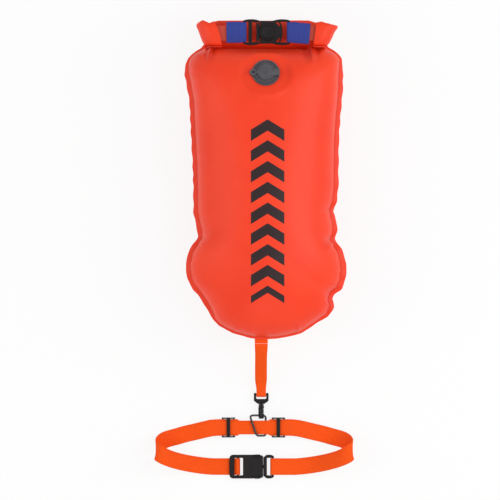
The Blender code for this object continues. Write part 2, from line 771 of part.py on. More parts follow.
def closure_button():
    """Round release button, dished for a finger."""
    dish = BUTTON_HEIGHT / 6
    profile = [(0, BUTTON_HEIGHT - dish), (BUTTON_RADIUS * 2 / 3, BUTTON_HEIGHT - dish / 2),
               (BUTTON_RADIUS - dish, BUTTON_HEIGHT), (BUTTON_RADIUS, BUTTON_HEIGHT - dish),
               (BUTTON_RADIUS, 0), (0, 0)]
    piece = turned("closure_button", profile, "black_acetal", 28)
    foot = Vector((HOUSING_OFFSET_X, 0, BUTTON_LOW_Z))
    return place(piece, closure_matrix() @ Matrix.Translation(foot))


def turned(name, profile, material, steps):
    """A turned piece from a profile of radius and height, listed from the top down its outer side."""
    bm = bmesh.new()
    verts = [bm.verts.new((radius, 0, height)) for radius, height in profile]
    for a, b in zip(verts, verts[1:]):
        bm.edges.new((a, b))
    if profile[0][0] > 0:
        bm.edges.new((verts[-1], verts[0]))
    mesh = bpy.data.meshes.new(name)
    bm.to_mesh(mesh)
    bm.free()
    piece = add_part(name, mesh, material)
    screw = piece.modifiers.new("Turn", "SCREW")
    screw.steps = steps
    screw.render_steps = steps
    screw.use_merge_vertices = True
    screw.merge_threshold = TINY
    return smooth(piece)


# The air valve


def valve_flange():
    """Weld flange, raised collar and neck around the bore, with the stud of the cap's strap."""
    profile = [(BORE_RADIUS, COLLAR_HEIGHT), (COLLAR_RADIUS, COLLAR_HEIGHT),
               (COLLAR_RADIUS, FLANGE_WALL), (FLANGE_GROOVE_RADIUS, FLANGE_WALL),
               (FLANGE_GROOVE_RADIUS, FLANGE_WALL - FLANGE_GROOVE_DEPTH),
               (FLANGE_GROOVE_RADIUS + FLANGE_GROOVE_WIDTH, FLANGE_WALL - FLANGE_GROOVE_DEPTH),
               (FLANGE_GROOVE_RADIUS + FLANGE_GROOVE_WIDTH, FLANGE_WALL),
               (FLANGE_RADIUS, FLANGE_WALL), (FLANGE_RADIUS, 0),
               (NECK_RADIUS, 0), (NECK_RADIUS, -NECK_DEPTH), (BORE_RADIUS, -NECK_DEPTH)]
    piece = turned("valve_flange", profile, "grey_vinyl", 30)
    ear = rod_mesh("ear", EAR_RADIUS, (EAR_X, 0, 0), (EAR_X, 0, FLANGE_WALL), 16)
    stud_top = FLANGE_WALL + GAP + CAP_WALL + GAP
    stud = rod_mesh("stud", STUD_RADIUS, (EAR_X, 0, FLANGE_WALL / 2), (EAR_X, 0, stud_top + STUD_HEAD_WALL / 2), 12)
    head = rod_mesh("stud_head", STUD_HEAD_RADIUS, (EAR_X, 0, stud_top),
                    (EAR_X, 0, stud_top + STUD_HEAD_WALL), 12, STUD_RADIUS)
    for mesh in (ear, stud, head):
        join(piece, mesh)
    seat = Matrix.Translation((0, 0, PANEL_WALL + GAP))
    return place(piece, valve_frame() @ seat)


def valve_flap():
    """Thin rubber flap of the one-way valve, under the neck."""
    profile = [(0, FLAP_WALL), (FLAP_RADIUS, FLAP_WALL), (FLAP_RADIUS, 0), (0, 0)]
    piece = turned("valve_flap", profile, "valve_rubber", 24)
    drop = Matrix.Translation((0, 0, PANEL_WALL + GAP - NECK_DEPTH - GAP - FLAP_WALL))
    return place(piece, valve_frame() @ drop)


def cap_strap():
    """End of the cap's strap, buttoned on the stud; the cap bends up along its inner edge."""
    outline = arc((EAR_X, 0), EAR_RADIUS - GAP, math.pi / 3, 2 * math.pi - math.pi / 3, 12)
    outline += [(HINGE_X - GAP, -HINGE_HALF_WIDTH), (HINGE_X - GAP, HINGE_HALF_WIDTH)]
    hole = arc((EAR_X, 0), STUD_RADIUS + GAP, 0, 2 * math.pi, 11)
    piece = add_part("cap_strap", plate_mesh("cap_strap", [outline, hole], CAP_WALL), "grey_vinyl")
    lift = PANEL_WALL + GAP + FLANGE_WALL + GAP + CAP_WALL / 2
    return smooth(place(piece, valve_frame() @ Matrix.Translation((0, 0, lift))))


CAP_LOW_Z = PANEL_WALL + GAP + COLLAR_HEIGHT + GAP


def valve_cap():
    """Push-in cap: a round plate with a pull tab, a hinge tongue and the plug under it."""
    tab = math.asin(PULL_TAB_HALF_WIDTH / CAP_RADIUS)
    tongue = math.asin(HINGE_HALF_WIDTH / CAP_RADIUS)
    outline = arc((0, 0), CAP_RADIUS, tab, math.pi - tongue, 12)
    outline += [(HINGE_X + GAP, HINGE_HALF_WIDTH), (HINGE_X + GAP, -HINGE_HALF_WIDTH)]
    outline += arc((0, 0), CAP_RADIUS, math.pi + tongue, 2 * math.pi - tab, 12)
    outline += [(PULL_TAB_REACH, -PULL_TAB_HALF_WIDTH), (PULL_TAB_REACH, PULL_TAB_HALF_WIDTH)]
    mesh = plate_mesh("valve_cap", [outline], CAP_WALL, CAP_WALL / 4)
    mesh.transform(Matrix.Translation((0, 0, CAP_WALL / 2)))
    piece = add_part("valve_cap", mesh, "grey_vinyl")
    join(piece, rod_mesh("plug", PLUG_TOP_RADIUS, (0, 0, CAP_WALL / 2), (0, 0, -PLUG_DEPTH), 24,
                         PLUG_END_RADIUS))
    join(piece, rod_mesh("crown", CAP_RADIUS * 3 / 4, (0, 0, CAP_WALL / 2), (0, 0, CAP_WALL + CAP_DOME),
                         24, CAP_RADIUS / 2))
    return smooth(place(piece, valve_frame() @ Matrix.Translation((0, 0, CAP_LOW_Z))))


# The ring, whose place sets the height of the belt and the hook

RING_BAR_Z = RING_DEPTH * math.sin(RING_TILT) + RING_WIRE_RADIUS + RING_REST
BELT_BACK_Z = RING_BAR_Z - RING_WIRE_RADIUS - SLIP - BELT_WALL / 2
RING_Y = BELT_Y + BELT_BACK_DEPTH + RING_SHIFT_Y


def ring_offset(reach, up):
    """A point of the ring's slanted plane: reach from its front leg, up from its middle."""
    lean = -RING_LEAN * up / RING_HALF_HEIGHT * (1 - reach / RING_DEPTH)
    return Vector((lean + reach * math.cos(RING_TILT), up, -reach * math.sin(RING_TILT)))


HOOK_REACH = RING_DEPTH * RING_HOOK_SHARE
HOOK_POINT = Vector((TOW_X, RING_Y + RING_HALF_HEIGHT, RING_BAR_Z - HOOK_REACH * math.sin(RING_TILT)))
RING_X = TOW_X - ring_offset(HOOK_REACH, RING_HALF_HEIGHT).x
HOOK_ROLL = math.atan2(
    ring_offset(0, RING_HALF_HEIGHT).z - ring_offset(RING_DEPTH, RING_HALF_HEIGHT).z,
    ring_offset(RING_DEPTH, RING_HALF_HEIGHT).x - ring_offset(0, RING_HALF_HEIGHT).x,
)


def belt_ring():
    """Rounded four-sided wire ring threaded on the belt: one leg over the webbing, one under it."""
    high = RING_HALF_HEIGHT - RING_CORNER
    far = RING_DEPTH - RING_CORNER
    corners = [(far, high, 0), (RING_CORNER, high, 1), (RING_CORNER, -high, 2), (far, -high, 3)]
    quarter = math.pi / 2
    points = []
    for reach, up, turn in corners:
        points += arc((reach, up), RING_CORNER, turn * quarter, (turn + 1) * quarter, RING_CORNER_STEPS)
    center = Vector((RING_X, RING_Y, RING_BAR_Z))
    path = [center + ring_offset(reach, up) for reach, up in points]
    return smooth(add_part("belt_ring", tube_mesh("belt_ring", path, RING_WIRE_RADIUS, cyclic=True), "black_wire"))


# The snap hook

HOOK_END_Y = HOOK_POINT.y - HOOK_WIRE_SEAT
BARREL_LOW_Y = HOOK_END_Y + HOOK_THROAT_LENGTH
BARREL_HIGH_Y = BARREL_LOW_Y + BARREL_LENGTH
EYE_LOW_Y = BARREL_HIGH_Y + GAP + EYE_WIRE_RADIUS
EYE_BAR_Y = EYE_LOW_Y + EYE_LENGTH
GATE_HINGE_Y = BARREL_LOW_Y - GATE_WALL / 2 - GAP
GATE_HINGE_Z = HOOK_THROAT_HEIGHT / 2 + GATE_WALL / 2


def hook_matrix():
    """Frame of the hook: its axis along Y, rolled so that its throat crosses the ring squarely."""
    return Matrix.Translation((HOOK_POINT.x, 0, HOOK_POINT.z)) @ Matrix.Rotation(HOOK_ROLL, 4, "Y")


def swivel_eye():
    """Horned frame with the webbing's bar, on a headed post that turns in the hook's barrel."""
    wide = EYE_HALF_WIDTH
    inner = TOW_END_WIDTH / 2 + SLIP
    floor_y = -TOW_LOOP_RADIUS - TOW_WALL / 2 - EYE_WINDOW
    foot_y = EYE_LOW_Y - EYE_BAR_Y - EYE_WIRE_RADIUS
    foot = BARREL_RADIUS
    upper = [(foot, foot_y), (wide - EYE_HORN, foot_y + EYE_HORN), (wide, foot_y + EYE_HORN * 2),
             (wide, EYE_HORN - EYE_CORNER), (wide - EYE_CORNER, EYE_HORN), (inner + EYE_CORNER, EYE_HORN),
             (inner, EYE_HORN - EYE_CORNER), (inner, floor_y + EYE_CORNER), (inner - EYE_CORNER, floor_y)]
    outline = upper + [(-x, y) for x, y in reversed(upper)]
    plate = plate_mesh("swivel_eye", [outline], EYE_WIRE_RADIUS * 9 / 4, EYE_CORNER / 2)
    plate.transform(Matrix.Translation((0, EYE_BAR_Y, 0)))
    piece = add_part("swivel_eye", plate, "black_acetal")
    span = (inner + wide) / 2
    join(piece, rod_mesh("bar", EYE_WIRE_RADIUS, (-span, EYE_BAR_Y, 0), (span, EYE_BAR_Y, 0), 12))
    head_y = BARREL_LOW_Y - GAP
    join(piece, rod_mesh("post", POST_RADIUS, (0, EYE_LOW_Y, 0), (0, head_y - POST_HEAD_LENGTH / 2, 0), 12))
    join(piece, rod_mesh("post_head", POST_HEAD_RADIUS, (0, head_y, 0), (0, head_y - POST_HEAD_LENGTH, 0), 12))
    return smooth(place(piece, Matrix.Translation((HOOK_POINT.x, 0, HOOK_POINT.z))))


def hook_body():
    """Barrel and J-shaped hook, open on top where the gate closes it."""
    half = HOOK_THROAT_HEIGHT / 2
    tall = half + HOOK_WALL
    bend = arc((HOOK_END_Y + half, 0), tall, 3 * math.pi / 2, math.pi / 2, 8)
    inner = arc((HOOK_END_Y + half, 0), half, math.pi / 2, 3 * math.pi / 2, 8)
    lip_y = HOOK_END_Y + HOOK_LIP
    top_y = BARREL_LOW_Y + BARREL_LENGTH / 4
    outline = [(top_y, -tall)] + bend + [(lip_y, tall), (lip_y, half)] + inner
    outline += [(BARREL_LOW_Y, -half), (BARREL_LOW_Y, half + GATE_WALL + GAP), (top_y, tall)]
    mesh = plate_mesh("hook_body", [outline], HOOK_WIDTH, HOOK_WALL / 6)
    mesh.transform(Matrix(((0, 0, 1, 0), (1, 0, 0, 0), (0, 1, 0, 0), (0, 0, 0, 1))))
    piece = add_part("hook_body", mesh, "black_acetal")
    join(piece, rod_mesh("barrel", BARREL_RADIUS, (0, BARREL_LOW_Y + GAP, 0), (0, BARREL_HIGH_Y, 0), 16,
                         BARREL_RADIUS * 7 / 8))
    cut(piece, rod_mesh("bore", POST_RADIUS + GAP, (0, BARREL_LOW_Y - OVERRUN, 0),
                        (0, BARREL_HIGH_Y + OVERRUN, 0), 16))
    return smooth(place(piece, hook_matrix()))


def hook_gate():
    """Sprung gate with a thumb nub, hinged below the barrel."""
    length = GATE_HINGE_Y - (HOOK_END_Y + HOOK_LIP + GAP)
    half = GATE_WALL / 2
    gate = box_mesh("hook_gate", (-GATE_WIDTH / 2, -length, -half), (GATE_WIDTH / 2, 0, half))
    piece = add_part("hook_gate", gate, "black_acetal")
    join(piece, rod_mesh("knuckle", half, (-GATE_WIDTH / 2, 0, 0), (GATE_WIDTH / 2, 0, 0), 10))
    nub_y = -length * 2 / 3
    join(piece, box_mesh("nub", (-HOOK_WIDTH / 2 - GATE_NUB, nub_y, -half / 2),
                         (0, nub_y + GATE_NUB, half + GATE_WALL)))
    hinge = Matrix.Translation((0, GATE_HINGE_Y, GATE_HINGE_Z + GAP))
    return smooth(place(piece, hook_matrix() @ hinge))


# The tow strap

TOW_ROOT_Y = BAG_BOTTOM_Y + TOW_ROOT_INSIDE
TOW_HINGE_Y = BAG_BOTTOM_Y - TOW_ROOT_OUTSIDE - GAP * 2
TOW_Z = SEAM_Z - GAP / 2 - PANEL_WALL - GAP - TOW_WALL / 2
TOW_LOOP_RADIUS = EYE_WIRE_RADIUS + EYE_LOOP_CLEARANCE + TOW_WALL / 2


def tow_root():
    """Sewn end of the tow webbing, held under the float's bottom weld."""
    centres = [Vector((TOW_X, y, TOW_Z)) for y in (TOW_ROOT_Y, BAG_BOTTOM_Y - TOW_ROOT_OUTSIDE)]
    return webbing("tow_root", centres, TOW_WIDTH, TOW_WALL, "orange_webbing", Vector((1, 0, 0)))


def tow_strap():
    """Free part of the tow webbing, sagging to the hook and looped around its eye."""
    loop_z = HOOK_POINT.z + TOW_LOOP_RADIUS
    drop = TOW_Z - loop_z
    points = []
    widths = []
    for i in range(TOW_STEPS + 1):
        share = i / TOW_STEPS
        y = TOW_HINGE_Y + (EYE_BAR_Y - TOW_HINGE_Y) * share
        points.append((y, TOW_Z - drop * ease(share ** 0.8)))
        widths.append(TOW_WIDTH + (TOW_END_WIDTH - TOW_WIDTH) * ease(share * 3 - 2))
    points += [(EYE_BAR_Y - y, HOOK_POINT.z + z) for y, z in
               arc((0, 0), TOW_LOOP_RADIUS, math.pi / 2, -math.pi / 2, 8)][1:]
    points.append((EYE_BAR_Y + TOW_WIDTH / 2, HOOK_POINT.z - TOW_LOOP_RADIUS + GAP))
    centres = [Vector((HOOK_POINT.x, y, z)) for y, z in points]
    widths += [TOW_END_WIDTH] * (len(points) - len(widths))
    return webbing("tow_strap", centres, widths, TOW_WALL, "orange_webbing", Vector((1, 0, 0)))


# The waist belt

BUCKLE_Y = BELT_Y - BELT_FRONT_DEPTH
BUCKLE_Z = BUCKLE_HEIGHT / 2
BELT_LOOP_RADIUS = BAR_RADIUS + SLIP + BELT_WALL / 2
SOCKET_TAIL_Z = BELT_WALL / 2 + SLIP
SOCKET_BAR_Z = SOCKET_TAIL_Z + BELT_LOOP_RADIUS
SOCKET_ENTRY_Z = SOCKET_TAIL_Z + BELT_WALL + GAP
SOCKET_FRAME_Z = SOCKET_ENTRY_Z + BELT_WALL / 2 + SLIP + SOCKET_FRAME_HEIGHT / 2
SOCKET_BAR_X = BUCKLE_X - SOCKET_REACH + SOCKET_OUTER_BAR + BELT_SLOT_LENGTH
PLUG_BAR_X = BUCKLE_X + PLUG_REACH - BAR_RADIUS * 3 / 2


def belt_curve(turn, side):
    """Centre line of a belt end: turn 0 leaves the back run, pi reaches the front run."""
    free = BELT_HALF_LENGTH - BELT_FLAT_REACH
    reach = BELT_FLAT_REACH + free * abs(math.sin(turn)) ** BELT_REACH_POWER
    depth = BELT_BACK_DEPTH if turn < math.pi / 2 else -BELT_FRONT_DEPTH
    dip = ease((reach - BELT_DIP_START) / (BELT_DIP_END - BELT_DIP_START))
    back_z = BELT_BACK_Z + (BELT_DIP_Z - BELT_BACK_Z) * dip
    front_z = BUCKLE_Z + BELT_LOOP_RADIUS if side > 0 else SOCKET_ENTRY_Z
    base = back_z if turn < math.pi / 2 else BELT_DIP_Z + (front_z - BELT_DIP_Z) * ease(turn * 2 / math.pi - 1)
    swing = min(turn / BELT_ARCH_END_SHARE, math.pi) / 2
    arch = math.sin(swing) ** 6 * math.cos(swing) ** 2 / (0.75 ** 3 * 0.25)
    y = BELT_Y + depth * abs(math.cos(turn)) ** BELT_DEPTH_POWER
    return Vector((BELT_X + side * reach, y, base + BELT_ARCH * arch))


def belt_half(side):
    """Centre line from the back run's middle to the buckle on one side, and around its bar."""
    back = BELT_Y + BELT_BACK_DEPTH
    pinch_end = BELT_PINCH_X + side * (BELT_PINCH_HALF + BELT_PINCH_BLEND)
    stops = [BELT_X, BELT_X + side * BELT_PINCH_HALF / 2, pinch_end - side * BELT_PINCH_BLEND, pinch_end]
    points = [Vector((x, back, BELT_BACK_Z)) for x in stops]
    points += [belt_curve(math.pi * i / BELT_STEPS, side) for i in range(BELT_STEPS + 1)]
    bar_x = PLUG_BAR_X if side > 0 else SOCKET_BAR_X
    bar_z = BUCKLE_Z if side > 0 else SOCKET_BAR_Z
    if side < 0:
        inner = BUCKLE_X - SOCKET_REACH + SOCKET_OUTER_BAR
        rise = BELT_LOOP_RADIUS + SOCKET_BAR_Z - SOCKET_ENTRY_Z
        points += [Vector((inner - SOCKET_OUTER_BAR, BUCKLE_Y, SOCKET_ENTRY_Z)),
                   Vector((inner, BUCKLE_Y, SOCKET_ENTRY_Z)),
                   Vector((inner + BELT_SLOT_LENGTH * 3 / 8, BUCKLE_Y, SOCKET_ENTRY_Z + rise * 3 / 8)),
                   Vector((inner + BELT_SLOT_LENGTH * 5 / 8, BUCKLE_Y, SOCKET_ENTRY_Z + rise * 3 / 4))]
    turn = [Vector((bar_x - side * x, BUCKLE_Y, bar_z + z)) for x, z in
            arc((0, 0), BELT_LOOP_RADIUS, math.pi / 2, -math.pi / 2, 6)]
    tail = Vector((bar_x + side * TAB_RETURN, BUCKLE_Y, bar_z - BELT_LOOP_RADIUS))
    return points + turn + [tail]


def belt_width(centre):
    """Width of the webbing: it is gathered a little where it passes through the ring."""
    pinch = 2 * (RING_HALF_HEIGHT - RING_SHIFT_Y - RING_WIRE_RADIUS - SLIP)
    off = abs(centre.x - BELT_PINCH_X) - BELT_PINCH_HALF
    plain = ease(off / BELT_PINCH_BLEND) if centre.y > BELT_Y else 1
    return pinch + (BELT_WIDTH - pinch) * plain


def belt_webbing():
    left = belt_half(-1)
    right = belt_half(1)
    centres = list(reversed(left[1:])) + right
    widths = [belt_width(centre) for centre in centres]
    return webbing("belt_webbing", centres, widths, BELT_WALL, "orange_webbing")


def belt_tail(name, inner_x, outer_x):
    """Free end of the webbing, tucked under the back run through a slider."""
    z = BELT_BACK_Z - BELT_WALL - TAIL_GAP
    centres = [Vector((x, BELT_Y + BELT_BACK_DEPTH, z)) for x in (inner_x, outer_x)]
    return webbing(name, centres, BELT_WIDTH, BELT_WALL, "orange_webbing")


def slider(name, x):
    """Three-bar slider: middle bar over the webbing, outer bars under it."""
    half = BELT_WIDTH / 2 + SLIDER_CLEARANCE
    over = BELT_WALL / 2 + SLIP + SLIDER_BAR_RADIUS
    under = -(BELT_WALL * 3 / 2 + TAIL_GAP + SLIP + SLIDER_BAR_RADIUS)
    piece = None
    for side in (-1, 1):
        outline = rounded_rectangle((-SLIDER_HALF_LENGTH, under - SLIDER_BAR_RADIUS * 5 / 4),
                                    (SLIDER_HALF_LENGTH, over + SLIDER_BAR_RADIUS * 5 / 4), SLIDER_RAIL, 2)
        mesh = plate_mesh(name, [outline], SLIDER_RAIL)
        stand = Matrix.Translation((0, side * (half + SLIDER_RAIL / 2), 0)) @ Matrix.Rotation(math.pi / 2, 4, "X")
        mesh.transform(stand)
        if piece is None:
            piece = add_part(name, mesh, "black_acetal")
        else:
            join(piece, mesh)
    reach = half + SLIDER_RAIL / 2
    outer = SLIDER_HALF_LENGTH - SLIDER_RAIL
    for bar_x in (-outer, outer):
        join(piece, rod_mesh("bar", SLIDER_BAR_RADIUS, (bar_x, -reach, under), (bar_x, reach, under), 10))
    section = rounded_rectangle((-SLIDER_BAR_WIDTH / 2, over - SLIDER_BAR_RADIUS),
                                (SLIDER_BAR_WIDTH / 2, over + SLIDER_BAR_RADIUS), SLIDER_BAR_RADIUS * 5 / 6, 2)
    middle = plate_mesh("middle", [section], reach * 2)
    middle.transform(Matrix.Rotation(math.pi / 2, 4, "X"))
    join(piece, middle)
    return smooth(place(piece, Matrix.Translation((x, BELT_Y + BELT_BACK_DEPTH, BELT_BACK_Z))))


# The waist buckle


def buckle_matrix():
    return Matrix.Translation((BUCKLE_X, BUCKLE_Y, BUCKLE_Z))


BELT_PASS = BELT_WIDTH / 2 + SLIDER_CLEARANCE


def buckle_socket():
    """Hollow body with side windows for the prongs, and a two-bar frame for the belt."""
    corner = SOCKET_MOUTH_CHAMFER
    half = [(SOCKET_BODY_START, BUCKLE_HALF_HEIGHT), (SOCKET_MOUTH - corner * 2, BUCKLE_HALF_HEIGHT),
            (SOCKET_MOUTH - corner / 2, BUCKLE_HALF_HEIGHT - corner * 3 / 8),
            (SOCKET_MOUTH, BUCKLE_HALF_HEIGHT - corner * 5 / 8)]
    body = plate_mesh("buckle_socket", [mirrored(half)], BUCKLE_HEIGHT, SOCKET_WALL * 2 / 3)
    piece = add_part("buckle_socket", body, "black_acetal")
    rim = rounded_rectangle((-SOCKET_REACH, -BUCKLE_HALF_HEIGHT),
                            (SOCKET_BODY_START + SOCKET_CORNER * 2, BUCKLE_HALF_HEIGHT), SOCKET_CORNER, 4)
    gap_start = SOCKET_OUTER_BAR - SOCKET_REACH
    opening = rounded_rectangle((gap_start, -BELT_PASS), (SOCKET_BODY_START, BELT_PASS), CLOSURE_EDGE * 2)
    frame = plate_mesh("frame", [rim, opening], SOCKET_FRAME_HEIGHT, SOCKET_FRAME_HEIGHT / 4)
    join(piece, frame, Matrix.Translation((0, 0, SOCKET_FRAME_Z - BUCKLE_Z)))
    reach = (BUCKLE_HALF_HEIGHT + BELT_PASS) / 2
    bar = SOCKET_BAR_X - BUCKLE_X
    bar_z = SOCKET_BAR_Z - BUCKLE_Z
    join(piece, rod_mesh("bar", BAR_RADIUS, (bar, -reach, bar_z), (bar, reach, bar_z), 10))
    cavity_y = BUCKLE_HALF_HEIGHT - SOCKET_SIDE_WALL
    cavity_z = BUCKLE_HEIGHT / 2 - SOCKET_WALL
    cut(piece, box_mesh("cavity", (SOCKET_BODY_START + SOCKET_WALL * 2, -cavity_y, -cavity_z),
                        (SOCKET_MOUTH + OVERRUN, cavity_y, cavity_z)))
    deep = BUCKLE_HALF_HEIGHT - WINDOW_DEPTH
    wide = BUCKLE_HALF_HEIGHT * 3 / 2
    for side in (-1, 1):
        low, high = sorted((side * deep, side * wide))
        window = plate_mesh("window", [rounded_rectangle((WINDOW_START, low), (WINDOW_START + WINDOW_LENGTH, high),
                                                         SOCKET_CORNER / 2)], BUCKLE_HEIGHT)
        cut(piece, window, Matrix.Translation((0, 0, BUCKLE_HEIGHT / 2 - cavity_z)))
    return smooth(place(piece, buckle_matrix()))


PLUG_SHOULDER_X = SOCKET_MOUTH + GAP
PRONG_ROOT_X = SOCKET_MOUTH - GAP


def buckle_plug():
    """Shoulder, centre guide and curved webbing frame of the plug half."""
    neck = BUCKLE_HALF_HEIGHT * PLUG_NECK_SHARE
    shoulder = box_mesh("buckle_plug", (PLUG_SHOULDER_X, -neck, -BUCKLE_HEIGHT / 2),
                        (PLUG_SHOULDER_X + PLUG_SHOULDER, neck, BUCKLE_HEIGHT / 2))
    piece = add_part("buckle_plug", shoulder, "black_acetal")
    run = PLUG_REACH - PLUG_SHOULDER_X
    upper = [(PLUG_SHOULDER_X + run * along, BUCKLE_HALF_HEIGHT * across) for along, across in PLUG_FRAME_SHARES]
    upper += [(PLUG_REACH, BELT_PASS), (PLUG_WINDOW_START, BELT_PASS)]
    frame = plate_mesh("frame", [mirrored(upper)], PLUG_FRAME_HEIGHT, CLOSURE_EDGE)
    join(piece, frame)
    bar = PLUG_BAR_X - BUCKLE_X
    reach = BELT_PASS + (BUCKLE_HALF_HEIGHT - BELT_PASS) / 4
    join(piece, rod_mesh("bar", BAR_RADIUS, (bar, -reach, 0), (bar, reach, 0), 10))
    join(piece, box_mesh("guide", (PLUG_SHOULDER_X - GUIDE_LENGTH, -GUIDE_WIDTH / 2, -GUIDE_WIDTH / 4),
                         (PLUG_SHOULDER_X + PLUG_SHOULDER / 2, GUIDE_WIDTH / 2, GUIDE_WIDTH / 4)))
    return smooth(place(piece, buckle_matrix()))


def buckle_prong(name, side):
    """Springy prong of the plug, with the barb that catches in the socket's window."""
    root_y = PRONG_ROOT_Y
    tip = -PRONG_LENGTH
    outline = [(0, -PRONG_THICKNESS / 2), (0, PRONG_THICKNESS / 2)]
    barb_top = PRONG_TIP_Y - root_y + PRONG_THICKNESS / 2 + PRONG_BARB
    outline += [(tip + PRONG_BARB_LENGTH, PRONG_TIP_Y - root_y + PRONG_THICKNESS / 2),
                (tip + PRONG_BARB_LENGTH, barb_top), (tip + PRONG_THICKNESS, barb_top),
                (tip, PRONG_TIP_Y - root_y + PRONG_THICKNESS / 2), (tip, PRONG_TIP_Y - root_y - PRONG_THICKNESS / 2)]
    outline = [(x, y * side) for x, y in outline]
    mesh = plate_mesh(name, [outline], PRONG_WIDTH)
    piece = add_part(name, mesh, "black_acetal")
    root = Matrix.Translation((PRONG_ROOT_X, side * root_y, 0))
    return smooth(place(piece, buckle_matrix() @ root))


front_panel()
back_panel()
dry_liner()
rolled_mouth()
mouth_strip()
closure_tab("closure_tab_left", -1)
closure_tab("closure_tab_right", 1)
closure_socket()
closure_plug()
closure_button()
valve_flange()
valve_flap()
cap_strap()
valve_cap()
tow_root()
tow_strap()
swivel_eye()
hook_body()
hook_gate()
belt_ring()
belt_webbing()
belt_tail("belt_tail_left", SLIDER_LEFT_X + TAIL_INNER, SLIDER_LEFT_X - TAIL_LEFT_OUTER)
belt_tail("belt_tail_right", SLIDER_RIGHT_X - TAIL_INNER, SLIDER_RIGHT_X + TAIL_RIGHT_OUTER)
slider("slider_left", SLIDER_LEFT_X)
slider("slider_right", SLIDER_RIGHT_X)
buckle_socket()
buckle_plug()
buckle_prong("prong_upper", 1)
buckle_prong("prong_lower", -1)
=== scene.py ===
"""Open water swim buoy, dressed: coated fabric float, roll-top mouth, webbing, valve and buckles.

Everything is in metres in the frame of the solids: X across, Y from the belt to the roll-top, Z up.
"""

import math
from types import SimpleNamespace

import bpy
import numpy as np
from mathutils import Matrix, Vector


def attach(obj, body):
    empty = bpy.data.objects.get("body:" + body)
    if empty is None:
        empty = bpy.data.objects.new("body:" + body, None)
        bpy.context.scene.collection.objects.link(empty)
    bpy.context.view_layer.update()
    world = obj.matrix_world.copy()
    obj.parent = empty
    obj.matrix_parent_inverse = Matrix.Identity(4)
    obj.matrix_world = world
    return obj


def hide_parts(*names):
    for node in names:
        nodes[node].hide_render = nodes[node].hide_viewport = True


MM = 0.001
FULL_TURN = 2 * math.pi

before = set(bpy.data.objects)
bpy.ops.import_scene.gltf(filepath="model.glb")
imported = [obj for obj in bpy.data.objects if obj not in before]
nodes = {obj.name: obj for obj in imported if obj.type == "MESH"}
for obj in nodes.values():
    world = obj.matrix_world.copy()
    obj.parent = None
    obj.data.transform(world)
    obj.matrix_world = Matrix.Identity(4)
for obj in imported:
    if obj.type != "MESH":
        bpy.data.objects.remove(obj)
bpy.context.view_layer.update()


# Materials


def tone(code):
    """An sRGB hex colour as linear values."""
    levels = [int(code[i:i + 2], 16) / 255 for i in (1, 3, 5)]
    linear = [v / 12.92 if v <= 0.04045 else ((v + 0.055) / 1.055) ** 2.4 for v in levels]
    return (*linear, 1.0)


def fill_sockets(material, node, sockets):
    """Set a node's inputs, each to a value or to the output that feeds it."""
    for place, value in sockets.items():
        if isinstance(value, bpy.types.NodeSocket):
            material.node_tree.links.new(value, node.inputs[place])
        else:
            node.inputs[place].default_value = value


def add_node(material, kind, sockets=(), out=0, stops=(), **settings):
    """Add one shader node and return one of its outputs.

    Its sockets are given in order, or by name or number. Stops are the two ends of its colour band.
    """
    node = material.node_tree.nodes.new(kind)
    for name, value in settings.items():
        setattr(node, name, value)
    fill_sockets(material, node, sockets if isinstance(sockets, dict) else dict(enumerate(sockets)))
    for end, (place, colour) in enumerate(stops):
        node.color_ramp.elements[end].position = place
        node.color_ramp.elements[end].color = colour
    return node.outputs[out]


def start_material(name):
    """A new material and its Principled shader."""
    material = bpy.data.materials.new(name)
    material.use_nodes = True
    return material, material.node_tree.nodes["Principled BSDF"]


# Chevrons in screen ink: bars 17 mm tall on a 31 mm pitch and 50 mm wide, at the middle of the front
CHEVRON_X = 3.8 * MM
CHEVRON_HALF = 25 * MM
CHEVRON_BAR = 17 * MM
CHEVRON_PITCH = 31 * MM
CHEVRON_SLOPE = 0.62
CHEVRON_START = -160 * MM
CHEVRON_RISE = (6 * MM, 272 * MM)
FRONT_ONLY_Z = 80 * MM


def chevron_ink(material, place):
    """1 where the chevrons' ink lies, 0 elsewhere."""
    x, y, z = (add_node(material, "ShaderNodeSeparateXYZ", (place,), out=axis) for axis in range(3))
    away = add_node(material, "ShaderNodeMath", (x, CHEVRON_X), operation="SUBTRACT")
    away = add_node(material, "ShaderNodeMath", (away,), operation="ABSOLUTE")
    rise = add_node(material, "ShaderNodeMath", (y, -CHEVRON_START), operation="ADD")
    rise = add_node(material, "ShaderNodeMath", (away, CHEVRON_SLOPE, rise), operation="MULTIPLY_ADD")
    step = add_node(material, "ShaderNodeMath", (rise, CHEVRON_PITCH), operation="MODULO")
    ink = add_node(material, "ShaderNodeMath", (step, CHEVRON_BAR), operation="LESS_THAN")
    limits = [
        (away, "LESS_THAN", CHEVRON_HALF), (rise, "GREATER_THAN", CHEVRON_RISE[0]),
        (rise, "LESS_THAN", CHEVRON_RISE[1]), (z, "GREATER_THAN", FRONT_ONLY_Z),
    ]
    for value, test, limit in limits:
        inside = add_node(material, "ShaderNodeMath", (value, limit), operation=test)
        ink = add_node(material, "ShaderNodeMath", (ink, inside), operation="MULTIPLY")
    return ink


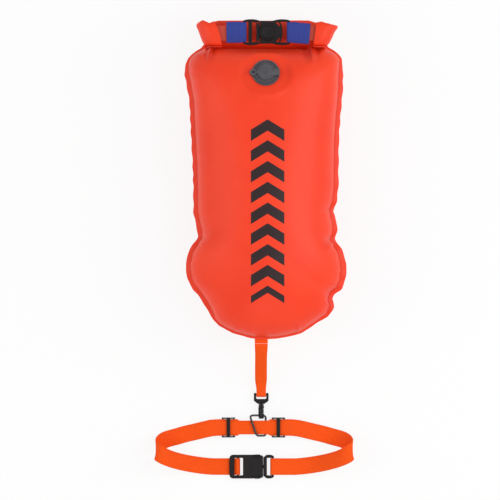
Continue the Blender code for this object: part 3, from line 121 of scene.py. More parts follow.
def coated_nylon(name, printed):
    """TPU-coated nylon: a satin film over a fine plain weave, with painted shade darkening its folds and
    hollows.
    """
    material, shader = start_material(name)
    place = add_node(material, "ShaderNodeTexCoord", out="Object")
    # Slow changes of shade, 60 mm across, where the coating lies thicker or thinner
    cloud = add_node(material, "ShaderNodeTexNoise", {"Vector": place, "Scale": 1 / (60 * MM), "Detail": 3.0})
    base = add_node(material, "ShaderNodeValToRGB", (cloud,),
                    stops=[(0.30, tone("#F13711")), (0.70, tone("#F83F17"))])
    # Painted shade: a deep red in the cloth's creases and hollows, by the mask that mark_creases stores
    painted_shade_mask = add_node(material, "ShaderNodeAttribute", out="Fac", attribute_name="painted_crease_shade")
    colour = add_node(material, "ShaderNodeMix", {0: painted_shade_mask, 6: base, 7: tone("#C4220F")}, out=2,
                      data_type="RGBA")
    if printed:
        # Matte ink that the coating's red shines through a little
        ink = chevron_ink(material, place)
        colour = add_node(material, "ShaderNodeMix", {0: ink, 6: colour, 7: tone("#2A181A")}, out=2,
                          data_type="RGBA")
    # Handling dulls the film in patches
    rough = add_node(material, "ShaderNodeMapRange", {"Value": cloud, "To Min": 0.42, "To Max": 0.52})
    # Plain weave: threads 0.35 mm apart, drawn 1.0 mm apart so that they show
    weave = 1.0
    for way in "XY":
        threads = add_node(material, "ShaderNodeTexWave",
                           {"Vector": place, "Scale": 1 / (FULL_TURN * 1.0 * MM), "Distortion": 0.6},
                           out="Fac", bands_direction=way)
        weave = add_node(material, "ShaderNodeMath", (threads, weave), operation="MULTIPLY")
    # The film is uneven, 14 mm across
    film = add_node(material, "ShaderNodeTexNoise", {"Vector": place, "Scale": 1 / (14 * MM), "Detail": 4.0})
    height = add_node(material, "ShaderNodeMath", (weave, 0.03, film), operation="MULTIPLY_ADD")
    bump = add_node(material, "ShaderNodeBump", {"Strength": 0.25, "Distance": 0.8 * MM, "Height": height})
    fill_sockets(material, shader, {"Base Color": colour, "Roughness": rough, "Specular IOR Level": 0.34,
                                    "Normal": bump})
    return material


def polyester_webbing(name, light, dark):
    """Flat woven polyester webbing: dull ribs across the strap, crossed by the warp."""
    material, shader = start_material(name)
    flat = add_node(material, "ShaderNodeUVMap", uv_map="UVMap")
    along, across = (add_node(material, "ShaderNodeSeparateXYZ", (flat,), out=axis) for axis in range(2))
    # Weft ribs 1.4 mm apart along the strap, warp threads 1.1 mm apart across it, moved on at every other rib
    waves = []
    for value, length in ((along, 1.4 * MM), (along, 2.8 * MM), (across, 1.1 * MM)):
        waves.append(add_node(material, "ShaderNodeMath", (value, FULL_TURN / length), operation="MULTIPLY"))
    ribs = add_node(material, "ShaderNodeMath", (waves[0],), operation="SINE")
    turn = add_node(material, "ShaderNodeMath", (waves[1],), operation="SINE")
    warp = add_node(material, "ShaderNodeMath", (turn, 1.5, waves[2]), operation="MULTIPLY_ADD")
    warp = add_node(material, "ShaderNodeMath", (warp,), operation="SINE")
    weave = add_node(material, "ShaderNodeMath", (ribs, warp), operation="MULTIPLY")
    weave = add_node(material, "ShaderNodeMath", (weave, 0.5, 0.5), operation="MULTIPLY_ADD")
    # Fuzz of the yarn in tufts 2.5 mm across
    place = add_node(material, "ShaderNodeTexCoord", out="Object")
    fuzz = add_node(material, "ShaderNodeTexNoise", {"Vector": place, "Scale": 1 / (2.5 * MM), "Detail": 5.0})
    fuzz = add_node(material, "ShaderNodeMath", (fuzz, 0.45), operation="MULTIPLY")
    cloth = add_node(material, "ShaderNodeMath", (weave, 0.55, fuzz), operation="MULTIPLY_ADD")
    colour = add_node(material, "ShaderNodeValToRGB", (cloth,),
                      stops=[(0.15, tone(dark)), (0.62, tone(light))])
    bump = add_node(material, "ShaderNodeBump", {"Strength": 0.5, "Distance": 0.4 * MM, "Height": cloth})
    fill_sockets(material, shader, {"Base Color": colour, "Roughness": 0.72, "Specular IOR Level": 0.15,
                                    "Normal": bump})
    return material


def polyester_thread(name, light, dark):
    """Twisted polyester sewing thread, 0.6 mm thick: a little shinier than the webbing."""
    material, shader = start_material(name)
    place = add_node(material, "ShaderNodeTexCoord", out="Object")
    fuzz = add_node(material, "ShaderNodeTexNoise", {"Vector": place, "Scale": 1 / (0.8 * MM), "Detail": 3.0})
    colour = add_node(material, "ShaderNodeValToRGB", (fuzz,), stops=[(0.3, tone(dark)), (0.7, tone(light))])
    fill_sockets(material, shader, {"Base Color": colour, "Roughness": 0.68})
    return material


STUD_RADIUS = 2.3 * MM


def moulded_plastic(name, light, dark, roughness, gloss=0.5, grain=0.6, stud=None):
    """Injection-moulded plastic: fine spark-eroded grain, paler worn edges, and a dark round dot at the
    stud's place if given.
    """
    material, shader = start_material(name)
    place = add_node(material, "ShaderNodeTexCoord", out="Object")
    # Flow marks, 9 mm across
    cloud = add_node(material, "ShaderNodeTexNoise", {"Vector": place, "Scale": 1 / (9 * MM), "Detail": 4.0})
    edge = add_node(material, "ShaderNodeNewGeometry", out="Pointiness")
    wear = add_node(material, "ShaderNodeMath", (cloud, 0.5, edge), operation="MULTIPLY_ADD")
    colour = add_node(material, "ShaderNodeValToRGB", (wear,),
                      stops=[(0.60, tone(dark)), (0.95, tone(light))])
    if stud:
        # A near-black round dot, 2.3 mm in radius, round the stud's place
        away = add_node(material, "ShaderNodeVectorMath", (place, stud), out="Value", operation="DISTANCE")
        dark_dot = add_node(material, "ShaderNodeMath", (away, STUD_RADIUS), operation="LESS_THAN")
        colour = add_node(material, "ShaderNodeMix", {0: dark_dot, 6: colour, 7: tone("#15191F")}, out=2,
                          data_type="RGBA")
    rough = add_node(material, "ShaderNodeMapRange",
                     {"Value": cloud, "To Min": roughness - 0.05, "To Max": roughness + 0.07})
    fine = add_node(material, "ShaderNodeTexNoise",
                    {"Vector": place, "Scale": 1 / (grain * MM), "Detail": 2.0})
    rounded = add_node(material, "ShaderNodeBevel", {"Radius": 0.45 * MM}, samples=4)
    bump = add_node(material, "ShaderNodeBump",
                    {"Strength": 0.12, "Distance": 0.15 * MM, "Height": fine, "Normal": rounded})
    fill_sockets(material, shader, {"Base Color": colour, "Roughness": rough, "Specular IOR Level": gloss,
                                    "Normal": bump})
    return material


def white_floor():
    """Matte white floor, white to the lens and in reflections, that still takes the shadow."""
    material, shader = start_material("matte_white_floor")
    fill_sockets(material, shader, {"Base Color": tone("#F4F4F4"), "Roughness": 0.9})
    seen = {ray: add_node(material, "ShaderNodeLightPath", out=f"Is {ray} Ray")
            for ray in ("Glossy", "Transmission", "Camera")}
    plain = add_node(material, "ShaderNodeEmission", {"Color": tone("#FFFFFF"), "Strength": 1.0})
    shown = add_node(material, "ShaderNodeMath", (seen["Glossy"], seen["Transmission"]), operation="MAXIMUM")
    lens = add_node(material, "ShaderNodeMath", (seen["Camera"], 0.85), operation="MULTIPLY")
    shown = add_node(material, "ShaderNodeMath", (shown, lens), operation="MAXIMUM")
    surface = add_node(material, "ShaderNodeMixShader", (shown, shader.outputs[0], plain))
    fill_sockets(material, material.node_tree.nodes["Material Output"], {"Surface": surface})
    return material


float_cloth = coated_nylon("tpu_coated_nylon_printed", True)
plain_cloth = coated_nylon("tpu_coated_nylon", False)
orange_web = polyester_webbing("polyester_webbing_orange", "#FC5A12", "#E84408")
blue_web = polyester_webbing("polyester_webbing_blue", "#3B4A9C", "#2A377E")
orange_thread = polyester_thread("polyester_thread_orange", "#FB6420", "#DC430C")
blue_thread = polyester_thread("polyester_thread_blue", "#4656A4", "#303F88")
acetal = moulded_plastic("acetal_black", "#171213", "#0C0909", 0.45, gloss=0.3)
coated_wire = moulded_plastic("epoxy_coated_wire_black", "#242121", "#141212", 0.34, grain=0.9)
vinyl = moulded_plastic("pvc_grey", "#58575D", "#3E3D43", 0.45)
flap_rubber = moulded_plastic("silicone_rubber_dark", "#3A3A3A", "#2A2A2A", 0.6)
strip_film = moulded_plastic("pvc_strip_red", "#C9402A", "#B0301C", 0.5)


# Modelling tools


def pick_none():
    """Deselect everything, because an operator acts on all that is selected."""
    for piece in bpy.context.selected_objects:
        piece.select_set(False)


def pick(piece):
    """Select one piece alone and make it active."""
    pick_none()
    piece.select_set(True)
    bpy.context.view_layer.objects.active = piece


def apply_modifier(piece, modifier):
    """Make a modifier's result the piece's own mesh."""
    bpy.context.view_layer.objects.active = piece
    bpy.ops.object.modifier_apply(modifier=modifier.name)


def finish_edit(piece, close=False):
    """Merge doubles, close open ends where asked and turn all faces outward."""
    bpy.context.view_layer.objects.active = piece
    bpy.ops.object.mode_set(mode="EDIT")
    bpy.ops.mesh.select_all(action="SELECT")
    bpy.ops.mesh.remove_doubles(threshold=0.002 * MM)
    if close:
        bpy.ops.mesh.select_all(action="DESELECT")
        bpy.ops.mesh.select_mode(type="VERT")
        bpy.ops.mesh.select_non_manifold(extend=False)
        bpy.ops.mesh.fill_holes(sides=0)
        bpy.ops.mesh.select_all(action="SELECT")
    bpy.ops.mesh.normals_make_consistent(inside=False)
    bpy.ops.object.mode_set(mode="OBJECT")
    return piece


def cloth_grid(name, points, size, material):
    """A grid laid through rows of points, with its UV map in metres, size = (along a row, over the rows)."""
    rows, columns = points.shape[:2]
    pick_none()
    bpy.ops.mesh.primitive_grid_add(x_subdivisions=columns - 1, y_subdivisions=rows - 1, size=1,
                                    calc_uvs=True)
    piece = bpy.context.object
    mesh = piece.data
    piece.name = mesh.name = name
    mesh.vertices.foreach_set("co", np.ascontiguousarray(points, dtype=np.float32).ravel())
    layer = mesh.uv_layers[0]
    layer.name = "UVMap"
    spots = np.empty(len(mesh.loops) * 2, dtype=np.float32)
    layer.data.foreach_get("uv", spots)
    spots = spots.reshape(-1, 2) * np.array(size, dtype=np.float32)
    layer.data.foreach_set("uv", spots.ravel())
    mesh.update()
    mesh.materials.append(material)
    return piece


def shade(piece, degrees=60):
    """Smooth shading, apart from edges sharper than an angle."""
    pick(piece)
    bpy.ops.object.shade_smooth_by_angle(angle=math.radians(degrees))
    return piece


def ease(share):
    """Smooth step from 0 to 1."""
    share = np.clip(share, 0, 1)
    return share * share * (3 - 2 * share)


def running_length(points):
    """Length along a line up to each of its points."""
    return np.concatenate([[0], np.cumsum(np.linalg.norm(np.diff(points, axis=0), axis=1))])


def points_at(spots, lengths, points):
    """The points at some lengths along a line."""
    return np.stack([np.interp(spots, lengths, points[:, k]) for k in range(points.shape[1])], 1)


def ripple(points, length, seed, waves=7):
    """Smooth uneven field from a few crossing waves, from -1 to 1, its features about a length across."""
    chance = np.random.default_rng(seed)
    total = np.zeros(points.shape[:-1])
    for _ in range(waves):
        way = chance.normal(size=3)
        way *= math.pi / (length * np.linalg.norm(way)) * chance.uniform(0.7, 1.5)
        total += np.sin(points @ way + chance.uniform(0, 6.28))
    return total / waves ** 0.5 / 1.5


def grid_normals(points):
    """Unit normals of a grid of points, rows by columns."""
    normal = np.cross(np.gradient(points, axis=1), np.gradient(points, axis=0))
    return normal / np.maximum(np.linalg.norm(normal, axis=-1, keepdims=True), 1e-12)


# Float

NECK_Y = 213.5 * MM
BOTTOM_Y = -224 * MM
SEAM_Z = 66 * MM
WELD = 6.8 * MM
SKIN = 1.6 * MM
CREST_LOW, CREST_HIGH = -112 * MM, 128 * MM
FRONT_RISE, BACK_RISE = 77 * MM, 74 * MM

VALVE = Vector((1.1, 173.5)) * MM
VALVE_TILT = math.radians(22)
VALVE_SINK = 3.5 * MM
VALVE_BORE = 11.7 * MM
VALVE_FLAT, VALVE_FLAT_EDGE = 31 * MM, 12 * MM
STUD_PLACE = Vector((-18.7, 0, 6.3)) * MM

# Seam line from the middle of the bottom to the middle of the neck: reach to the left and right, and Y, in mm
SEAM = [
    (0.0, 0.0, -224.0), (16.4, 17.3, -223.4), (25.8, 30.1, -221.4), (36.2, 41.9, -218.5),
    (47.3, 54.9, -215.2), (58.3, 62.7, -210.0), (68.6, 71.6, -204.0), (76.2, 82.1, -197.0),
    (80.8, 94.9, -190.0), (84.7, 99.9, -183.0), (88.9, 104.4, -176.0), (93.3, 103.3, -169.0),
    (97.4, 100.8, -162.4), (101.5, 104.5, -156.5), (108.0, 114.7, -150.0), (112.6, 118.2, -142.0),
    (116.8, 121.1, -132.5), (118.8, 122.8, -121.0), (118.9, 121.9, -110.0), (116.6, 119.2, -99.0),
    (113.8, 115.9, -89.0), (107.0, 108.7, -79.0), (102.9, 105.6, -73.0), (100.8, 106.4, -69.8),
    (102.3, 109.1, -60.0), (105.3, 108.1, -47.0), (108.0, 102.8, -33.0), (108.0, 108.1, -18.0),
    (108.1, 110.8, 5.0), (109.2, 110.9, 40.0), (111.1, 111.5, 75.0), (112.6, 113.2, 105.0),
    (113.8, 115.8, 132.0), (117.7, 117.6, 155.0), (121.3, 117.6, 174.0), (119.6, 116.2, 188.0),
    (115.3, 115.2, 197.8), (110.0, 110.8, 203.2), (103.6, 105.0, 208.4), (96.0, 97.5, 212.8),
    (90.5, 91.5, 214.6), (72.9, 72.9, 214.0), (36.4, 36.4, 213.5), (0.0, 0.0, 213.5),
]
# Darts beside the neck and soft creases from the seam's notches: from x, y to x, y, width and depth in mm
FOLDS = [
    (-80.4, 217, -84.4, 190, 2.0, 5.0), (-106, 203, -89, 199, 5, 1.8),
    (67, 217, 71, 186, 3.4, 6.0), (73, 217, 76, 197, 2.4, 3.0), (108, 204, 94, 199, 4, 0.9),
    (106, -73, 85, -100, 3.2, 1.5), (106, -70, 88, -60, 4, 1.2), (-101, -70, -84, -64, 4, 1.1),
    (-101, -73, -87, -90, 3.5, 0.9), (101, -163, 82, -152, 3.6, 1.4), (102, -33, 86, -38, 4, 1.1),
    (50, -214, 50, -196, 2.0, 0.8), (58, -212, 59, -199, 2.0, 0.6), (-46, -215, -42, -200, 3, 0.7),
]
SIDE_STEPS = 330
RIB_STEPS = 52
WELD_STEPS = 4
GIRTH_COLUMN = 200

# The weld's scallops, its run-on into the roll beside the neck, and the lobe where it is widest
SCALLOP_DEPTH = 0.55 * MM
NECK_HALF, NECK_FOOT_Y = 97 * MM, 200 * MM
NECK_RUN_ON = 4.5 * MM
LOBE_Y, LOBE_REACH = -118 * MM, 38 * MM


def seam_points(column):
    """One side of the seam, evenly spaced and rounded at its corners."""
    corners = np.array([(row[column], row[2]) for row in SEAM]) * MM
    mirrored = np.concatenate([corners[:0:-1] * (-1, 1), corners])
    lengths = running_length(mirrored)
    lengths -= lengths[len(corners) - 1]
    end, margin = lengths[-1], 60 * MM
    fine = np.arange(-margin, end + margin, 0.5 * MM)
    dense = points_at(fine, lengths, mirrored)
    past = fine > end
    dense[past] = np.stack([end - fine[past], np.full(past.sum(), NECK_Y)], 1)
    window = np.hanning(15)
    window /= window.sum()
    soft = np.stack([np.convolve(dense[:, k], window, mode="same") for k in range(2)], 1)
    points = points_at(np.linspace(0, end, SIDE_STEPS + 1), fine, soft)
    points[0, 0] = points[-1, 0] = 0
    return points


def smooth_loop(points, steps):
    """A closed line evened out over some steps each way."""
    window = np.hanning(2 * steps + 1)
    window /= window.sum()
    closed = np.concatenate([points[-steps:], points, points[:steps]])
    return np.stack([np.convolve(closed[:, k], window, mode="valid") for k in range(2)], 1)


def crest_share(share, y):
    """Height share of a rib, fuller toward the neck."""
    power = 2.1 + 0.6 * ease(y / (190 * MM))
    return np.maximum(1 - share ** power, 0) ** (1 / power)


def valve_plane():
    """Height of the middle of the flat that the valve sits on."""
    over = (VALVE.y - CREST_HIGH) / (NECK_Y - 6.5 * MM - CREST_HIGH)
    return SEAM_Z + FRONT_RISE * float(crest_share(np.array(over), NECK_Y)) - VALVE_SINK


def valve_matrix():
    """The valve's own frame, with its foot on the flat and tilted with it."""
    foot = Vector((VALVE.x, VALVE.y, valve_plane()))
    return Matrix.Translation(foot) @ Matrix.Rotation(-VALVE_TILT, 4, "X")


def scallop_wave(run, seed):
    """From -1 where the weld is drawn in to 1 between, at uneven places 16 to 33 mm apart along the seam."""
    chance = np.random.default_rng(seed)
    places = np.cumsum(chance.uniform(16, 33, int(run[-1] / (24 * MM)) + 6)) * MM
    return -np.cos(FULL_TURN * np.interp(run, places, np.arange(len(places))))


def seam_and_weld():
    """The seam round the float, from the bottom up the right side and down the left, and its weld."""
    right, left = seam_points(1), seam_points(0) * (-1, 1)
    loop = np.concatenate([right, left[::-1]])
    run = running_length(loop)
    ahead = np.roll(loop, -1, axis=0) - np.roll(loop, 1, axis=0)
    ahead[0] = ahead[-1] = (1, 0)
    ahead[SIDE_STEPS] = ahead[SIDE_STEPS + 1] = (-1, 0)
    ahead /= np.linalg.norm(ahead, axis=1, keepdims=True)
    inward = np.stack([-ahead[:, 1], ahead[:, 0]], 1)
    both = (right[:, 1] + left[:, 1]) / 2
    share = (np.concatenate([both, both[::-1]]) - BOTTOM_Y) / (NECK_Y - BOTTOM_Y)
    crest = np.stack([np.zeros_like(share), CREST_LOW + (CREST_HIGH - CREST_LOW) * share], 1)

    # Scallops: gone beside the neck and where the line closes, and fainter below the side notches
    x, y = loop.T
    plain = 1 - ease((y - 160 * MM) / (40 * MM))
    meet = ease(np.minimum(run, run[-1] - run) / (16 * MM))
    wave = (1 - (1 - scallop_wave(run, 5)) * meet) * plain
    drawn = SCALLOP_DEPTH * (1 - 0.6 * ease((-82 * MM - y) / (12 * MM))) * (1 - wave) * plain
    # The weld is widest on the right lobe and narrow at the bottom and the shoulders
    neck = ease((NECK_HALF - np.abs(x)) / (8 * MM)) * (y > NECK_FOOT_Y)
    lobe = np.exp(-((y - LOBE_Y) / LOBE_REACH) ** 2) * (x > 0)
    thin = 1 - 0.5 * ease((y - 170 * MM) / (30 * MM)) * (1 - neck)
    low = 1 - 0.45 * ease((-176 * MM - y) / (26 * MM))
    # At the neck the cloth runs on up into the roll
    edge = loop + inward * (drawn - NECK_RUN_ON * neck)[:, None]
    root = edge + inward * (WELD * (1 + 0.3 * lobe + 0.06 * wave) * thin * low)[:, None]
    return SimpleNamespace(
        run=run, y=y, crest=crest, edge=edge, root=root, broad=smooth_loop(root, 34), wave=wave, plain=plain,
        fillet=2.6 + 1.5 * neck, lift=(0.4 * wave + 0.5 * np.sin(run / (47 * MM))) * MM * plain * meet)


def flattened_for_valve(spot, z, rho):
    """Heights of a rib's points, pressed to the tilted flat round the valve."""
    away = np.hypot(spot[:, 0] - VALVE.x, spot[:, 1] - VALVE.y)
    flat = valve_plane() - math.tan(VALVE_TILT) * (spot[:, 1] - VALVE.y) + SKIN / math.cos(VALVE_TILT)
    press = (1 - ease((away - VALVE_FLAT) / VALVE_FLAT_EDGE)) * ease((1 - rho) / 0.12)
    return z + (flat - z) * press


def inflated_panel(seam, side, rise):
    """Front or back panel, from its crest out to the seam's edge. The notches tell only near the seam."""
    rows = []
    for rho in 1 - (np.arange(RIB_STEPS, -1, -1) / RIB_STEPS) ** 1.45:
        spot = seam.crest + (seam.broad - seam.crest) * rho + (seam.root - seam.broad) * rho ** 7
        height = rise * crest_share(rho, seam.y) + SKIN * 0.6 * min((1 - rho) * 30, 1)
        z = SEAM_Z + side * (height + (0.7 + seam.fillet * rho ** 12) * MM)
        if side > 0:
            z = flattened_for_valve(spot, z, rho)
        rows.append(np.column_stack([spot, z + seam.lift * rho ** 6]))
    for part in np.arange(1, WELD_STEPS + 1) / WELD_STEPS:
        spot = seam.root + (seam.edge - seam.root) * part
        wall = 0.7 * (1 - part ** 4) + seam.fillet * (1 - part) ** 2.5
        rows.append(np.column_stack([spot, SEAM_Z + seam.lift + side * wall * MM]))
    return np.array(rows)


def fold_shares(points, fold):
    """How far points lie in a fold's hollow and on the soft ridges beside it, from 0 to 1."""
    start = np.array(fold[:2]) * MM
    way = np.array(fold[2:4]) * MM - start
    width = fold[4] * MM
    reach = np.linalg.norm(way)
    off = points[..., :2] - start
    along = off @ (way / reach) / reach
    across = np.abs(off @ np.array((-way[1], way[0])) / reach)
    fade = ease((1.15 - along) / 0.8) * ease((along + 0.25) / 0.25)
    return np.exp(-(across / width) ** 1.5) * fade, np.exp(-((across / width - 2.2) / 1.6) ** 2) * fade


def crumple(panel, seam, side, seed):
    """Dents, folds and ripples of one panel, pushed along its normals. They are weaker on the back."""
    outward = grid_normals(panel) * side
    flow = np.cumsum(np.linalg.norm(np.diff(panel, axis=0, prepend=panel[:1]), axis=-1), axis=0)
    depth = np.maximum(flow[RIB_STEPS][None, :] - flow, 0)
    # Shallow dimples where the scallops draw the cloth in
    dent = 0.45 * MM * (seam.wave - 1)[None, :] * seam.plain * np.exp(-(depth / (9 * MM)) ** 2)
    for fold in FOLDS:
        hollow, ridge = fold_shares(panel, fold)
        dent += (ridge * 0.35 - hollow) * fold[5] * MM * (1 if side > 0 else 0.6)
    for length, height, fade, step in ((80 * MM, 0.6 * MM, 30 * MM, 1), (30 * MM, 0.10 * MM, 10 * MM, 2)):
        dent += ripple(panel, length, seed + step) * height * ease(depth / fade)
    if side > 0:
        away = np.hypot(panel[..., 0] - VALVE.x, panel[..., 1] - VALVE.y)
        dent *= ease((away - 26 * MM) / (10 * MM))
    dent[RIB_STEPS:] *= 0.15
    panel += outward * dent[..., None]
    # The two sides meet in one line of points along the crest, at the bottom and at the neck
    panel[0, :, 0] = 0
    panel[0] = (panel[0] + panel[0][::-1]) / 2
    for pair in ([0, -1], [SIDE_STEPS, SIDE_STEPS + 1]):
        panel[:, pair] = panel[:, pair].mean(axis=1, keepdims=True)


def float_skin():
    """The inflated float: both panels and the weld between them, softly scalloped along the seam."""
    seam = seam_and_weld()
    front = inflated_panel(seam, 1, FRONT_RISE)
    back = inflated_panel(seam, -1, BACK_RISE)
    crumple(front, seam, 1, 11)
    crumple(back, seam, -1, 29)
    back[..., 2] = np.maximum(back[..., 2], 0)
    back[-1] = front[-1]
    points = np.concatenate([front, back[-2::-1]])
    girth = float(running_length(points[:, GIRTH_COLUMN])[-1])
    return finish_edit(cloth_grid("float_skin", points, (seam.run[-1], girth), float_cloth), close=True)


def bore_valve_seat(skin):
    """The hole that the valve's neck passes through."""
    pick_none()
    bpy.ops.mesh.primitive_cylinder_add(vertices=48, radius=VALVE_BORE, depth=17 * MM)
    punch = bpy.context.object
    punch.matrix_world = valve_matrix() @ Matrix.Translation((0, 0, -2 * MM))
    cut = skin.modifiers.new("Valve hole", "BOOLEAN")
    cut.operation = "DIFFERENCE"
    cut.object = punch
    apply_modifier(skin, cut)
    bpy.data.objects.remove(punch, do_unlink=True)
    return skin


def around(ends, values, count):
    """Mean over the edges at each point; values are those for the first and the second end of each edge."""
    total = np.zeros(count)
    edges = np.zeros(count)
    for side in (0, 1):
        np.add.at(total, ends[:, side], values[side])
        np.add.at(edges, ends[:, side], 1)
    return total / np.maximum(edges, 1)


FULL_HOLLOW = 0.35
DEEP_FOLD = 4


def mark_creases(piece, folds=()):
    """Store how deep each point lies in a hollow or a fold, from 0 to 1, as the mask of the painted shade in
    the folds.
    """
    mesh = piece.data
    places = np.array([vertex.co for vertex in mesh.vertices])
    turns = np.array([vertex.normal for vertex in mesh.vertices])
    ends = np.array([edge.vertices[:] for edge in mesh.edges])
    gap = places[ends[:, 1]] - places[ends[:, 0]]
    gap /= np.maximum(np.linalg.norm(gap, axis=1, keepdims=True), 1e-9)
    rise, fall = (np.einsum("ij,ij->i", gap, turns[ends[:, side]]) for side in (0, 1))
    hollow = np.clip(around(ends, (rise, -fall), len(places)) / FULL_HOLLOW, 0, 1)
    # Spread over the points around, which takes some of its strength
    for _ in range(6):
        hollow = 0.5 * hollow + 0.5 * around(ends, (hollow[ends[:, 1]], hollow[ends[:, 0]]), len(places))
    hollow = hollow * 1.3
    # The deepest darts on the front get painted shade along their hollows as well
    for fold in folds:
        share = np.clip((fold[5] - 1) / DEEP_FOLD, 0, 1)
        hollow = np.maximum(hollow, fold_shares(places, fold)[0] * share * (places[:, 2] > SEAM_Z))
    field = mesh.attributes.new("painted_crease_shade", "FLOAT", "POINT")
    field.data.foreach_set("value", np.clip(hollow, 0, 1).astype(np.float32))
    return piece


# Roll-top mouth

ROLL_Y = 234.5 * MM
ROLL_HALF = 20 * MM
ROLL_WIDE = 106 * MM
ROLL_DEPTH = 7.2 * MM
ROLL_STEP = 2.3 * MM
ROLL_TURNS = 2
ROLL_WALL = 1.1 * MM
BEND = 15.2 * MM
BEND_X = ROLL_WIDE - ROLL_DEPTH - BEND
ARM_END = 72 * MM
STRIP_TOP = SEAM_Z + 2 * BEND + 1.0 * MM

# Edges of the folded ends, left and right: Y, reach of the inner edge and of the outer one, in mm
FLAP_EDGES = {
    -1: [(214, 64.5, 92.6), (219, 64.9, 94.8), (230, 66.8, 98.3),
         (240, 70.1, 101.6), (251, 74.7, 105.8), (255, 76.2, 106.4)],
    1: [(214, 72.5, 96.0), (219, 72.8, 98.2), (230, 74.4, 102.8),
        (240, 75.8, 107.0), (252, 76.6, 112.6), (256, 76.8, 113.0)],
}
# How far the folded ends' tops stand above or below the roll's: X and the difference, in mm
FLAP_TOPS = [
    (-103, -4.9), (-97, -1.5), (-92.5, 0.3), (-88, -2.6), (-83.5, -4.2), (-78, -2.0), (-70, 0),
    (66, 0), (76, -2.9), (85, -1.3), (90, -3.0), (95, -4.7), (107, -6.9),
]
ROLL_COLUMNS = 260
ROLL_ROWS = 150


def roll_line():
    """Centre line of the folded roll, left to right, in X and Z, with its normals and running length."""
    quarter = np.linspace(-math.pi / 2, math.pi / 2, 60)
    half = np.concatenate([
        np.stack([np.linspace(0, BEND_X, 60, endpoint=False), np.zeros(60)], 1),
        np.stack([BEND_X + BEND * np.cos(quarter), BEND + BEND * np.sin(quarter)], 1),
        np.stack([np.linspace(BEND_X, ARM_END, 40)[1:], np.full(39, 2 * BEND)], 1),
    ])
    whole = np.concatenate([half[:0:-1] * (-1, 1), half])
    size = running_length(whole)
    spots = np.linspace(0, size[-1], ROLL_COLUMNS)
    line = points_at(spots, size, whole)
    run = np.gradient(line, axis=0)
    run /= np.linalg.norm(run, axis=1, keepdims=True)
    return line, np.stack([-run[:, 1], run[:, 0]], 1), spots


def bump_at(x, place, width):
    """A soft bump, 1 high, at a place in mm."""
    return np.exp(-((x - place * MM) / (width * MM)) ** 2)


def flared(x, y, line, arm):
    """X across the roll, widened or narrowed so that the folded ends follow their edges."""
    for side, edges in FLAP_EDGES.items():
        table = np.array(edges) * MM
        inner, outer = (float(np.interp(y, table[:, 0], table[:, k])) for k in (1, 2))
        wide = x * outer / ROLL_WIDE + side * (inner - ARM_END * outer / ROLL_WIDE) * arm
        x = np.where(line[:, 0] * side > 0, wide, x)
    return x


def roll_fabric():
    """The mouth's fabric, rolled twice round the strip and folded forward at both ends."""
    line, normal, spots = roll_line()
    turns = np.linspace(0, ROLL_TURNS * FULL_TURN, ROLL_ROWS)
    arm = np.clip((BEND_X - np.abs(line[:, 0])) / (BEND_X - ARM_END), 0, 1) * (line[:, 1] > BEND)
    rows = []
    for turn in turns:
        shrink = ROLL_STEP * turn / FULL_TURN
        up, out = -math.cos(turn), math.sin(turn)
        y = ROLL_Y + (ROLL_HALF - shrink) * math.copysign(abs(up) ** 0.8, up)
        thick = (ROLL_DEPTH - shrink) * math.copysign(abs(out) ** 0.6, out)
        x = flared(line[:, 0] + normal[:, 0] * thick, y, line, arm)
        rows.append(np.stack([x, np.full(len(line), y), SEAM_Z + line[:, 1] + normal[:, 1] * thick], 1))
    points = np.array(rows)

    x = points[..., 0]
    tops = np.array(FLAP_TOPS) * MM
    points[..., 1] += ease((points[..., 1] - ROLL_Y) / ROLL_HALF) * np.interp(x, tops[:, 0], tops[:, 1])
    outward = -grid_normals(points)
    # Few soft folds: one upright in each flap, small ones round both bends
    on_flap = ease((line[:, 1] - BEND * 0.6) / (BEND * 1.2))
    dent = -(1.1 * bump_at(x, 96, 2.6) + 0.7 * bump_at(x, -88, 4)) * MM * on_flap
    near_bend = np.exp(-((np.abs(line[:, 0]) - 92 * MM) / (9 * MM)) ** 2)[None, :]
    small = np.sin(spots / (8.5 * MM) * FULL_TURN + 2.2 * ripple(points, 40 * MM, 3))
    dent = dent + small * 0.35 * MM * near_bend
    dent = dent + ripple(points, 34 * MM, 8) * 0.45 * MM
    # Only the outer turn is creased
    outer = np.clip(1 - turns / (1.2 * FULL_TURN), 0, 1)[:, None]
    points += outward * (dent * outer)[..., None]
    points[..., 1] += ripple(points, 60 * MM, 14) * 0.7 * MM * outer
    points[..., 1] = np.maximum(points[..., 1], NECK_Y + 0.9 * MM)

    piece = cloth_grid("roll_fabric", points, (float(spots[-1]), 0.2), plain_cloth)
    wall = piece.modifiers.new("Fabric", "SOLIDIFY")
    wall.thickness = ROLL_WALL
    wall.offset = 0
    apply_modifier(piece, wall)
    # The roll's hollows get painted shade from the stored mask
    return shade(mark_creases(piece))


# Webbing

WEB_WALL = 1.5 * MM
# Half of a strap's section in shares of its half width and half wall: flat, then round at the selvage
SELVAGE = 0.0336
HALF_SECTION = [(-1 + SELVAGE, 1), (-0.5, 1), (0, 1), (0.5, 1), (1 - SELVAGE, 1), (1, 0.45), (1, -0.45)]


def strap(name, centres, widths, wall, across, material):
    """Woven strap with rounded selvages along a centre line; its UV map runs along and across it."""
    centres = np.array(centres, float)
    widths = np.broadcast_to(np.asarray(widths, float), len(centres))
    run = np.gradient(centres, axis=0)
    run /= np.linalg.norm(run, axis=1, keepdims=True)
    across = np.broadcast_to(np.asarray(across, float), centres.shape)
    side = across - run * np.sum(run * across, axis=1, keepdims=True)
    side /= np.linalg.norm(side, axis=1, keepdims=True)
    up = np.cross(side, run)
    section = HALF_SECTION + [(-x, -z) for x, z in HALF_SECTION] + HALF_SECTION[:1]
    points = np.stack([centres + side * (x * widths / 2)[:, None] + up * (z * wall / 2) for x, z in section])
    size = (float(running_length(centres)[-1]), float(widths.max()) * 2)
    return shade(finish_edit(cloth_grid(name, points, size, material), close=True))


